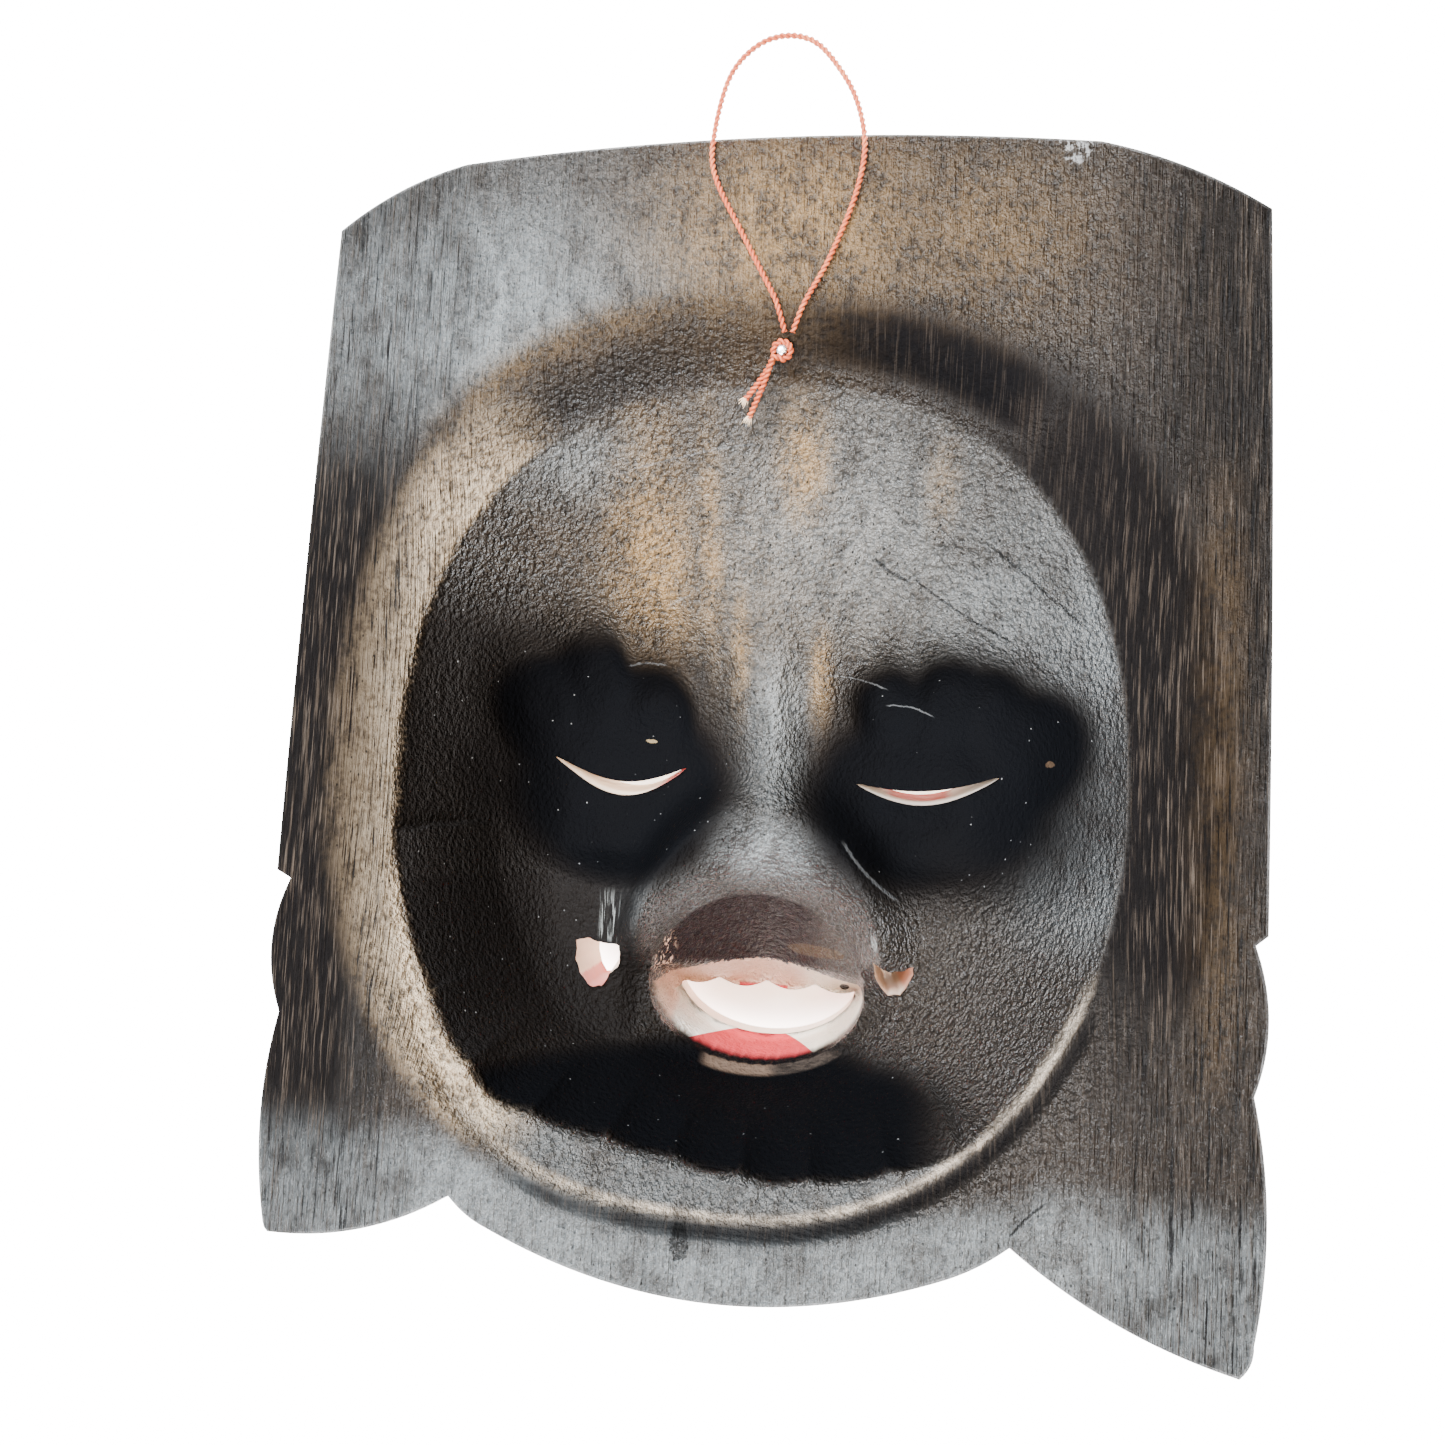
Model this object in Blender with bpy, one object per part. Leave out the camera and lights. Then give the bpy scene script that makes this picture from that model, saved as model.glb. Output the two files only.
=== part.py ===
# Hanuman wall mask, one carved block of painted wood with a hanging cord.
# Work is done in millimetres in the mask's own frame: X to the right as seen from the back,
# Y toward the crown, depth counted from the flat back plane toward the carved face.
# The part lies face down, so the back plane is level and on top.
import math

import bmesh
import bpy
import numpy as np
from mathutils import Vector
from mathutils.geometry import delaunay_2d_cdt

MM = 0.001

# Overall sizes
MASK_WIDTH = 197.8
MASK_HEIGHT = 236.3
MASK_X, MASK_Y = 1.475, 26.55
TOTAL_DEPTH = 92.0
EDGE_DEPTH = 15.0
EDGE_CHAMFER, EDGE_CHAMFER_RISE = 1.4, 2.2
MIN_WALL = 7.0

# Carved hollow in the back, a superellipse with a bevelled rim
HOLLOW_X, HOLLOW_Y = 0.5, 10.5
BORDER_SIDE, BORDER_END = 23.9, 33.15
HOLLOW_HALF_WIDTH = MASK_WIDTH / 2 - BORDER_SIDE
HOLLOW_HALF_HEIGHT = MASK_HEIGHT / 2 - BORDER_END
BEVEL_LEFT, BEVEL_RIGHT = 11.5, 15.0
BEVEL_TOP, BEVEL_BOTTOM = 11.5, 3.0
UPPER_FLOOR, LOWER_FLOOR = 40.0, 44.0
SOCKET_DEPTH = 11.0
# Gentle band at the chin: its width at each turn in degrees from straight down, its slope, and
# the run of the drop behind it
CHIN_BAND_TURN = (-80.0, -55.0, -36.0, -24.0, -14.0, 4.0, 18.0, 34.0)
CHIN_BAND_WIDTH = (0.0, 3.8, 4.6, 8.2, 8.4, 6.0, 4.0, 0.0)
CHIN_BAND_SLOPE = 0.4
CHIN_DROP_RUN = 12.0

# Mouth bore
MOUTH_X, MOUTH_Y = 0.0, -38.0
MOUTH_HALF_WIDTH = 26.0
MOUTH_UP, MOUTH_DOWN = 23.0, 17.6
MOUTH_EDGE_DEPTH = 49.0
HOOD_X = 1.0
HOOD_HALF_WIDTH, HOOD_HEIGHT, HOOD_DEPTH = 30.0, 42.0, 34.0

# Teeth and tongue at the far end of the bore, and the slanted cuts of eyes and tusks
TEETH_BELOW_MOUTH = 2.4
TOOTH_WIDTH, TOOTH_CURVE = 12.8, 2.2
SLIT_HALF_WIDTH, SLIT_SLANT = 16.6, 2.8
TUSK_NARROWING = 0.5

# Lips round the mouth on the face
LIP_HALF_WIDTH, LIP_HALF_HEIGHT = 27.0, 11.5
LIP_BELOW_MOUTH = 8.0
LIP_CREST = 1.42

# Face on the front
FACE_X, FACE_Y = 1.0, 2.0
FACE_HALF_WIDTH = HOLLOW_HALF_WIDTH + MIN_WALL
FACE_ABOVE, FACE_BELOW = 3.0, -1.0
FACE_TOP = HOLLOW_HALF_HEIGHT + FACE_ABOVE
FACE_BOTTOM = HOLLOW_HALF_HEIGHT + FACE_BELOW
FACE_DEPTH = 57.0
MUZZLE_DEPTH = 82.0
EYE_LEFT = (-36.2, 24.0)
EYE_RIGHT = (38.6, 24.0)
EYE_RADIUS = 17.0
COLLAR_RADIUS = 1.05
DIADEM_IN_SIDE, DIADEM_IN_TOP = 10.0, 8.0
DIADEM_HALF_WIDTH = FACE_HALF_WIDTH - DIADEM_IN_SIDE
DIADEM_HALF_HEIGHT = FACE_TOP - DIADEM_IN_TOP
CROWN_BELOW_FACE_TOP = 6.0
CROWN_START = FACE_Y + FACE_TOP - CROWN_BELOW_FACE_TOP
CREST_ABOVE_FACE = 7.0
CREST_X, CREST_Y = FACE_X, FACE_Y + FACE_TOP + CREST_ABOVE_FACE
CREST_HALF_WIDTH, CREST_UP, CREST_DOWN = 29.0, 31.0, 20.0
CREST_BASE_DEPTH = 44.0
CREST_LEVELS = (1.0, 0.86, 0.71, 0.56, 0.41)
CREST_RISER = 0.06

# Nail in the upper bevel, a little above the hollow, and the cord
NAIL_X = 4.2
NAIL_ABOVE_HOLLOW = 4.6
NAIL_Y = HOLLOW_Y + HOLLOW_HALF_HEIGHT + NAIL_ABOVE_HOLLOW
NAIL_HEAD_RADIUS, NAIL_SHANK_RADIUS = 1.05, 0.5
NAIL_STANDS_OUT, NAIL_IN_WOOD = 2.75, 7.5
NAIL_CLEARANCE = 0.4
CORD_DIAMETER = 1.0
KNOT_RADIUS = 1.95


def smooth(a, b, v):
    t = np.clip((v - a) / (b - a), 0.0, 1.0)
    return t * t * (3.0 - 2.0 * t)


def mix(a, b, t):
    return a + (b - a) * t


def hump(x, y, cx, cy, sx, sy):
    return np.exp(-(((x - cx) / sx) ** 2 + ((y - cy) / sy) ** 2))


def softmax(a, b, k):
    return 0.5 * (a + b + np.sqrt((a - b) ** 2 + k * k))


def oval(x, y, cx, cy, left, right, up, down, powers):
    # Superellipse radius with its own half sizes and roundness in each quarter.
    dx = x - cx
    dy = y - cy
    ax = np.where(dx < 0, left, right)
    ay = np.where(dy < 0, down, up)
    n = np.where(dy >= 0, np.where(dx < 0, powers[0], powers[1]),
                 np.where(dx < 0, powers[2], powers[3]))
    u = np.maximum(np.abs(dx) / ax, 1e-9)
    v = np.maximum(np.abs(dy) / ay, 1e-9)
    return (u ** n + v ** n) ** (1.0 / n)


def rim_inner(x, y):
    w, h = HOLLOW_HALF_WIDTH, HOLLOW_HALF_HEIGHT
    return oval(x, y, HOLLOW_X, HOLLOW_Y, w, w, h, h, (2.35, 2.35, 2.7, 2.1))


def rim_outer(x, y):
    w, h = HOLLOW_HALF_WIDTH, HOLLOW_HALF_HEIGHT
    return oval(x, y, HOLLOW_X, HOLLOW_Y, w + BEVEL_LEFT, w + BEVEL_RIGHT,
                h + BEVEL_TOP, h + BEVEL_BOTTOM, (2.35, 2.35, 2.15, 2.1))


def mouth_radius(x, y):
    return oval(x, y, MOUTH_X, MOUTH_Y, MOUTH_HALF_WIDTH, MOUTH_HALF_WIDTH, MOUTH_UP, MOUTH_DOWN,
                (2.0, 2.0, 2.0, 2.0))


def face_radius(x, y):
    return oval(x, y, FACE_X, FACE_Y, FACE_HALF_WIDTH, FACE_HALF_WIDTH, FACE_TOP, FACE_BOTTOM,
                (2.6, 2.6, 2.3, 2.3))


def diadem_radius(x, y):
    w, h = DIADEM_HALF_WIDTH, DIADEM_HALF_HEIGHT
    return oval(x, y, FACE_X, FACE_Y, w, w, h, h, (2.4, 2.4, 2.4, 2.4))


def crest_radius(x, y):
    return oval(x, y, CREST_X, CREST_Y, CREST_HALF_WIDTH, CREST_HALF_WIDTH, CREST_UP, CREST_DOWN,
                (1.9, 1.9, 2.0, 2.0))


def lip_radius(x, y):
    across = (x - MOUTH_X) / LIP_HALF_WIDTH
    return np.sqrt(across ** 2 + ((y - MOUTH_Y + LIP_BELOW_MOUTH) / LIP_HALF_HEIGHT) ** 2)


def sockets(x, y):
    # Gouged eye sockets with the lobes that the chisel left along their upper edges,
    # each an oval given by its centre, half sizes, tilt in degrees and share of the full depth.
    lobes = (
        (-35.0, 8.0, 32.0, 28.5, 0.0, 1.0), (-54.5, 28.0, 9.5, 14.0, 0.0, 0.95),
        (-42.0, 35.0, 10.0, 15.0, 0.0, 0.9), (-28.0, 27.5, 10.0, 12.0, 0.0, 1.0),
        (-19.5, 42.0, 14.5, 7.0, -35.0, 0.3),
        (38.5, 9.0, 33.5, 26.0, 0.0, 1.0), (28.5, 32.0, 8.0, 11.0, 0.0, 0.75),
        (43.0, 32.0, 10.5, 12.5, 0.0, 0.9), (53.0, 30.0, 6.5, 11.0, 0.0, 0.95),
        (61.0, 22.5, 10.5, 13.5, 0.0, 1.0), (20.0, 39.0, 6.5, 10.0, 10.0, 0.3),
        (9.0, 32.0, 4.5, 15.0, 0.0, 0.25),
    )
    best = np.zeros_like(x)
    for cx, cy, half_x, half_y, tilt, share in lobes:
        c, s = math.cos(math.radians(tilt)), math.sin(math.radians(tilt))
        u = ((x - cx) * c + (y - cy) * s) / half_x
        v = ((y - cy) * c - (x - cx) * s) / half_y
        best = np.maximum(best, share * (1.0 - smooth(0.66, 1.06, np.sqrt(u * u + v * v))))
    return best


def back_depth(x, y):
    # Depth of the hollow side below the flat back plane.
    x = np.asarray(x, dtype=float)
    y = np.asarray(y, dtype=float)
    dx = x - HOLLOW_X
    dy = y - HOLLOW_Y
    r = np.sqrt(dx * dx + dy * dy) + 1e-6
    ux = dx / r
    uy = dy / r
    inner = rim_inner(x, y)
    outer = rim_outer(x, y)
    up = np.maximum(uy, 0.0)
    bevel = 4.0 + 5.0 * up ** 2 + 2.0 * np.maximum(ux, 0.0) ** 2 - np.maximum(-uy, 0.0) ** 2
    outside = np.maximum(inner - 1.0, 0.0)
    t = outside / (outside + np.maximum(1.0 - outer, 0.0) + 1e-6)
    slope = bevel * np.where(outer < 1.0, 1.0 - t, 0.0)

    inward = r / inner - r
    reach = 26.0 + 54.0 * up ** 1.5 + 4.0 * np.maximum(ux, 0.0)
    power = 1.9 - 0.4 * up
    fill = 1.0 - (1.0 - np.clip(inward / reach, 0.0, 1.0)) ** power
    floor = mix(LOWER_FLOOR, UPPER_FLOOR, smooth(-30.0, 10.0, y))
    depth = np.where(inner < 1.0, bevel + (floor - bevel) * fill, slope)

    # Gentle band inside the rim at the chin, before the gouge cuts drop away
    turn = np.degrees(np.arctan2(dx, -dy))
    band = np.interp(turn, CHIN_BAND_TURN, CHIN_BAND_WIDTH)
    gentle = bevel + CHIN_BAND_SLOPE * inward
    past = np.clip((inward - band) / CHIN_DROP_RUN, 0.0, 1.0) ** 0.7
    in_band = (inner < 1.0) & (band > 0.01)
    depth = np.where(in_band, mix(np.minimum(depth, gentle), depth, past), depth)

    room = smooth(0.0, 16.0, inward)
    depth = depth + SOCKET_DEPTH * sockets(x, y) * room * smooth(-14.0, -2.0, y + 4.0)
    depth = depth - 3.0 * hump(x, y, 1.0, 22.0, 7.0, 26.0)

    # Raised hood over the mouth, then the bore that runs down to the teeth and tongue.
    m = mouth_radius(x, y)
    hood = np.sqrt(((x - HOOD_X) / HOOD_HALF_WIDTH) ** 2 + ((y - MOUTH_Y) / HOOD_HEIGHT) ** 2)
    upper = smooth(-40.0, -22.0, y)
    crest = np.exp(-((hood - 1.0) / 0.17) ** 2) * upper
    depth = mix(depth, np.minimum(depth, HOOD_DEPTH), crest)
    part_way = (1.0 - hood) / np.maximum((1.0 - hood) + (m - 1.0), 1e-6)
    funnel = mix(HOOD_DEPTH, MOUTH_EDGE_DEPTH, np.clip(part_way, 0.0, 1.0))
    in_funnel = (hood < 1.0) & (m >= 1.0)
    depth = np.where(in_funnel, mix(depth, funnel, upper), depth)
    around = (1.0 - smooth(1.0, 1.35, m)) * (1.0 - upper)
    depth = mix(depth, MOUTH_EDGE_DEPTH - 1.0, around)

    e = np.clip(1.0 - m, 0.0, 1.0)
    palate = 24.0 * e ** 0.8
    lower = 29.0 * np.clip(e / 0.05, 0.0, 1.0)
    bore = MOUTH_EDGE_DEPTH + mix(lower, palate, smooth(-42.0, -33.5, y))
    return np.where(m < 1.0, bore, depth)


def raised_face(x, y):
    # Carved side, depth of wood measured from the back plane.
    dx = x - FACE_X
    dy = y - FACE_Y
    r = np.sqrt(dx * dx + dy * dy) + 1e-6
    q = face_radius(x, y)
    inward = np.maximum(r / q - r, 0.0)
    dome = 1.0 - (1.0 - np.clip(inward / 32.0, 0.0, 1.0)) ** 2
    border = EDGE_DEPTH + 2.0
    depth = border + (FACE_DEPTH - border) * dome

    # Crown leaves fanning out over the slab above the face
    ang = np.arctan2(x - FACE_X, y - 20.0)
    leaf = np.abs(np.cos(ang * 9.0))
    top = MASK_Y + MASK_HEIGHT / 2
    crown = smooth(CROWN_START, CROWN_START + 12.0, y) * (1.0 - smooth(top - 16.0, top - 2.0, y))
    depth = depth + crown * (5.0 + 4.0 * leaf)

    # Collar of fur round the cheeks and chin, then ears and the curls at the lower corners
    collar = np.exp(-((q - COLLAR_RADIUS) / 0.055) ** 2)
    depth = depth + 6.0 * collar * (1.0 - smooth(CROWN_START - 16.0, CROWN_START, y))
    for side in (-1.0, 1.0):
        cx = side * 0.43 * MASK_WIDTH + FACE_X
        depth = depth + 8.0 * hump(x, y, cx + side * 3.0, -27.0, 9.0, 12.0)
        depth = depth + 7.0 * hump(x, y, cx - side * 5.0, -68.0, 12.0, 13.0)
        depth = depth + 5.0 * hump(x, y, cx + side * 3.0, 10.0, 8.0, 15.0)

    # Cheeks, brows, upper lids and bulging eyes
    for ex, ey in (EYE_LEFT, EYE_RIGHT):
        side = -1.0 if ex < 0 else 1.0
        depth = depth + 8.0 * hump(x, y, ex + side * 9.0, -9.0, 15.0, 14.0)
        er = np.sqrt((x - ex) ** 2 + (y - ey) ** 2)
        brow = np.exp(-((er - EYE_RADIUS - 9.0) / 4.6) ** 2) * smooth(ey - 2.0, ey + 12.0, y)
        depth = depth + 10.0 * brow
        ball = FACE_DEPTH + 0.8 * np.sqrt(np.maximum(EYE_RADIUS ** 2 - er ** 2, 0.0))
        depth = np.where(er < EYE_RADIUS, softmax(depth, ball, 1.5), depth)

    # Muzzle with nose, lips and the corners for the tusks
    mq = oval(x, y, MOUTH_X, MOUTH_Y, 50.0, 50.0, 36.0, 36.0, (2.3, 2.3, 2.3, 2.3))
    muzzle = 1.0 - smooth(0.45, 1.1, mq)
    depth = depth + (MUZZLE_DEPTH - FACE_DEPTH) * muzzle
    depth = depth + 9.0 * hump(x, y, FACE_X, 24.0, 8.0, 22.0)
    depth = depth + 14.0 * hump(x, y, FACE_X, -3.0, 10.0, 9.0)
    for side in (-1.0, 1.0):
        depth = depth + 9.0 * hump(x, y, FACE_X + side * 11.5, -7.5, 6.0, 5.5)
        depth = depth + 8.0 * hump(x, y, side * 29.5, -30.0, 4.0, 10.0)
    lq = lip_radius(x, y)
    depth = depth + 11.0 * np.exp(-((lq - LIP_CREST) / 0.24) ** 2) * (1.0 - smooth(26.0, 42.0, np.abs(x)))
    depth = depth + 12.0 * hump(x, y, FACE_X, -77.0, 24.0, 9.0)

    # Diadem across the forehead with a broad stepped lotus crest in the middle
    dq = diadem_radius(x, y)
    band = np.exp(-((dq - 1.0) / 0.085) ** 4) * smooth(28.0, 44.0, y)
    depth = depth + 13.0 * band
    crest = crest_radius(x, y)
    tier = depth
    rise = (TOTAL_DEPTH + 0.5 - CREST_BASE_DEPTH) / (len(CREST_LEVELS) - 1)
    for i, level in enumerate(CREST_LEVELS):
        height = CREST_BASE_DEPTH + rise * i
        tier = mix(tier, height, 1.0 - smooth(level - CREST_RISER, level, crest))
    return np.maximum(depth, tier)


def front_depth(x, y):
    x = np.asarray(x, dtype=float)
    y = np.asarray(y, dtype=float)
    depth = softmax(raised_face(x, y), back_depth(x, y) + MIN_WALL, 2.0)
    return np.minimum(depth, TOTAL_DEPTH)


def arc(p, q, bulge, step):
    # Points from p up to but not including q, bulging to the left of the way p to q.
    chord = q - p
    length = float(np.hypot(*chord))
    sideways = np.array((-chord[1], chord[0])) * bulge
    count = max(1, int(round(length / step)))
    out = []
    for i in range(count):
        t = i / count
        out.append(tuple(p + chord * t + sideways * 4.0 * t * (1.0 - t)))
    return out


def mask_outline(step):
    # Clockwise as seen from the back, from the upper left corner along the arched top.
    # Corners are shares of the half width and half height from the middle, and each has
    # the bulge of the side after it as a share of that side's length.
    corners = (
        (-0.967, 0.852, 0.057), (-0.682, 0.972, 0.0265), (0.652, 0.969, 0.046),
        (0.976, 0.842, 0.003), (0.994, -0.331, 0.0), (0.972, -0.347, 0.088),
        (0.974, -0.578, 0.05), (0.982, -0.948, 0.12), (0.956, -1.0, 0.0565),
        (0.545, -0.845, 0.041), (0.419, -0.909, 0.103), (-0.483, -0.909, 0.06),
        (-0.568, -0.863, 0.075), (-0.957, -0.958, 0.115), (-0.971, -0.940, 0.056),
        (-0.971, -0.578, 0.109), (-0.968, -0.344, 0.0), (-1.0, -0.331, 0.0025),
    )
    size = np.array((MASK_WIDTH / 2, MASK_HEIGHT / 2))
    middle = np.array((MASK_X, MASK_Y))
    places = [middle + np.array(corner[:2]) * size for corner in corners]
    points = []
    for i, (x, y, bulge) in enumerate(corners):
        points += arc(places[i], places[(i + 1) % len(corners)], bulge, step)
    return np.array(points)[::-1]


def mouth_hole(count):
    # Scalloped edge of the upper teeth above, foot of the bore's lower wall below.
    half = 0.9 * MOUTH_HALF_WIDTH
    points = []
    for i in range(count):
        x = mix(half, -half, i / count)
        tooth = abs(math.sin(math.pi * (x - MOUTH_X + TOOTH_WIDTH) / TOOTH_WIDTH))
        points.append((MOUTH_X + x, MOUTH_Y - TEETH_BELOW_MOUTH - TOOTH_CURVE * tooth ** 0.8))
    for i in range(count):
        x = mix(-half, half, i / count)
        low = MOUTH_DOWN * math.sqrt(0.885 - (x / MOUTH_HALF_WIDTH) ** 2)
        points.append((MOUTH_X + x, MOUTH_Y - max(low, TEETH_BELOW_MOUTH + TOOTH_CURVE + 0.6)))
    return np.array(points)


def eye_slit(eye, left_fall, right_fall, drop, count):
    # Thin crescent along the lower edge of the eyeball.
    points = []
    for i in range(count + 1):
        t = i / count
        points.append((eye[0] + SLIT_HALF_WIDTH * (2.0 * t - 1.0),
                       eye[1] - mix(left_fall, right_fall, t)
                       - (drop + 2.2) * math.sin(math.pi * t) ** 0.9))
    for i in range(1, count):
        t = 1.0 - i / count
        points.append((eye[0] + SLIT_HALF_WIDTH * (2.0 * t - 1.0),
                       eye[1] - mix(left_fall, right_fall, t) + 0.3
                       - (drop - 0.9) * math.sin(math.pi * t) ** 0.9))
    return np.array(points)


def round_hole(cx, cy, radius, count):
    turn = 2 * math.pi / count
    return np.array([(cx + radius * math.cos(turn * i), cy + radius * math.sin(turn * i))
                     for i in range(count)])


def tusk_gap(corners):
    # Ragged opening between tusk and cheek, its corners given from the middle of the mouth.
    return np.array(corners) + (MOUTH_X, MOUTH_Y)


def through_cuts():
    # Openings at the back and, as pairs of the same length, where they reach the face:
    # the slits slant up under the eyeballs, and the tusk gaps narrow from the right.
    mouth = mouth_hole(14)
    slits = [eye_slit(EYE_LEFT, 8.4, 9.6, 6.0, 9), eye_slit(EYE_RIGHT, 11.6, 8.6, 3.6, 9)]
    tusks = [
        tusk_gap(((-43.6, 9.2), (-43.4, 4.4), (-41.8, 1.0), (-39.4, -1.4), (-36.6, -1.4),
                  (-34.8, 1.6), (-32.2, 4.6), (-32.0, 9.2), (-36.6, 8.8), (-40.2, 9.8))),
        tusk_gap(((27.7, 9.7), (28.4, 6.2), (30.2, 2.8), (31.6, 1.8), (34.4, 2.4),
                  (36.6, 5.6), (37.4, 9.4), (34.4, 8.0), (31.4, 8.0))),
    ]
    cuts = [(mouth, mouth)]
    for slit in slits:
        cuts.append((slit, slit + (0.0, SLIT_SLANT)))
    for tusk in tusks:
        left = tusk[:, 0].min()
        narrow = tusk.copy()
        narrow[:, 0] = left + 0.4 + (narrow[:, 0] - left) * TUSK_NARROWING
        cuts.append((tusk, narrow))
    return [(counter_clockwise(back), counter_clockwise(face)) for back, face in cuts]


def inside(points, loop):
    hit = np.zeros(len(points), dtype=bool)
    x, y = points[:, 0], points[:, 1]
    for (ax, ay), (bx, by) in zip(loop, np.roll(loop, -1, axis=0)):
        if ay == by:
            continue
        cross = (ay > y) != (by > y)
        hit ^= cross & (x < (bx - ax) * (y - ay) / (by - ay) + ax)
    return hit


def distance(points, loop):
    best = np.full(len(points), 1e9)
    for a, b in zip(loop, np.roll(loop, -1, axis=0)):
        d = b - a
        t = np.clip(((points - a) @ d) / max(float(d @ d), 1e-12), 0.0, 1.0)
        gap = np.hypot(*(points - a - t[:, None] * d).T)
        best = np.minimum(best, gap)
    return best


def ring_at(radius, cx, cy, level, count, first=0.0, last=360.0):
    # Points where an oval radius about (cx, cy) reaches the level, closed over a full turn.
    closed = last - first >= 360.0
    out = []
    for i in range(count):
        a = math.radians(first + (last - first) * i / (count if closed else count - 1))
        ux, uy = math.cos(a), math.sin(a)
        reach = level / float(radius(np.array(cx + ux), np.array(cy + uy)))
        out.append((cx + ux * reach, cy + uy * reach))
    return np.array(out), closed


def circle_radius(cx, cy, rx, ry):
    return lambda x, y: np.sqrt(((x - cx) / rx) ** 2 + ((y - cy) / ry) ** 2)


def fitted_points(height, start, finest, tolerance):
    # Grid cells are split wherever the surface bends away from the flat cell.
    chosen = {}
    reach_x, reach_y = MASK_WIDTH / 2 + 6.0, MASK_HEIGHT / 2 + 6.0
    cells = [(x, y) for x in np.arange(MASK_X - reach_x, MASK_X + reach_x, start)
             for y in np.arange(MASK_Y - reach_y, MASK_Y + reach_y, start)]
    size = start
    while cells:
        c = np.array(cells, dtype=float)
        x0, y0 = c[:, 0], c[:, 1]
        fx = np.array((0, 0.5, 1, 0, 0.5, 1, 0, 0.5, 1))
        fy = np.array((0, 0, 0, 0.5, 0.5, 0.5, 1, 1, 1))
        z = height(x0[:, None] + fx * size, y0[:, None] + fy * size)
        flat = ((1 - fx) * (1 - fy) * z[:, :1] + fx * (1 - fy) * z[:, 2:3]
                + (1 - fx) * fy * z[:, 6:7] + fx * fy * z[:, 8:9])
        bend = np.abs(z - flat).max(axis=1)
        later = []
        for (cx, cy), value in zip(cells, bend):
            for px in (cx, cx + size):
                for py in (cy, cy + size):
                    key = (round(px, 3), round(py, 3))
                    chosen[key] = min(chosen.get(key, size), size)
            if value > tolerance and size > finest:
                half = size / 2
                later += [(cx, cy), (cx + half, cy), (cx, cy + half), (cx + half, cy + half)]
        cells = later
        size = size / 2
    points = np.array(list(chosen))
    return points, np.array(list(chosen.values()))


def triangulate(outer, holes, creases, extra, sizes):
    keep = inside(extra, outer)
    for line, closed in creases:
        gap = distance(extra, line) if closed else distance(extra, np.vstack((line, line[::-1])))
        keep &= gap > np.minimum(sizes * 0.5, 1.9)
    for loop in [outer] + holes:
        keep &= distance(extra, loop) > np.minimum(sizes * 0.45, 2.0)
    for loop in holes:
        keep &= ~inside(extra, loop)
    loops = [outer] + holes
    points = []
    edges = []
    for loop in loops:
        start = len(points)
        points += [tuple(p) for p in loop]
        edges += [(start + i, start + (i + 1) % len(loop)) for i in range(len(loop))]
    border = len(points)
    for line, closed in creases:
        # A crease stops short of the mask's edge.
        fits = inside(line, outer) & (distance(line, outer) > 1.0)
        number = len(points) + np.cumsum(fits) - 1
        points += [tuple(p) for p in line[fits]]
        count = len(line)
        for i in range(count if closed else count - 1):
            j = (i + 1) % count
            if fits[i] and fits[j]:
                edges.append((int(number[i]), int(number[j])))
    points += [tuple(p) for p in extra[keep]]
    out = delaunay_2d_cdt([Vector(p) for p in points], edges, [], 0, 1e-6)
    places, faces, origin = out[0], out[2], out[3]
    flat = np.array([tuple(p) for p in places])
    tris = [tuple(f) for f in faces]
    centre = np.array([flat[list(t)].mean(axis=0) for t in tris])
    good = inside(centre, outer)
    for loop in holes:
        good &= ~inside(centre, loop)
    index = {}
    for new, olds in enumerate(origin):
        for old in olds:
            index[old] = new
    result = []
    for t, ok in zip(tris, good):
        if ok:
            a, b, c = (flat[i] for i in t)
            turn = (b[0] - a[0]) * (c[1] - a[1]) - (b[1] - a[1]) * (c[0] - a[0])
            result.append(t if turn > 0 else (t[0], t[2], t[1]))
    return flat, result, [index[i] for i in range(border)]


def inset(loop, amount):
    # Loop runs counter-clockwise, a positive amount moves it inward.
    before = np.roll(loop, 1, axis=0)
    after = np.roll(loop, -1, axis=0)
    d1 = loop - before
    d2 = after - loop
    d1 = d1 / np.hypot(d1[:, 0], d1[:, 1])[:, None]
    d2 = d2 / np.hypot(d2[:, 0], d2[:, 1])[:, None]
    n = np.stack((-(d1 + d2)[:, 1], (d1 + d2)[:, 0]), axis=1)
    n = n / np.maximum(np.hypot(n[:, 0], n[:, 1]), 1e-6)[:, None]
    return loop + n * amount


def counter_clockwise(loop):
    nxt = np.roll(loop, -1, axis=0)
    area = np.sum(loop[:, 0] * nxt[:, 1] - nxt[:, 0] * loop[:, 1])
    return loop if area > 0 else loop[::-1]


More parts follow.
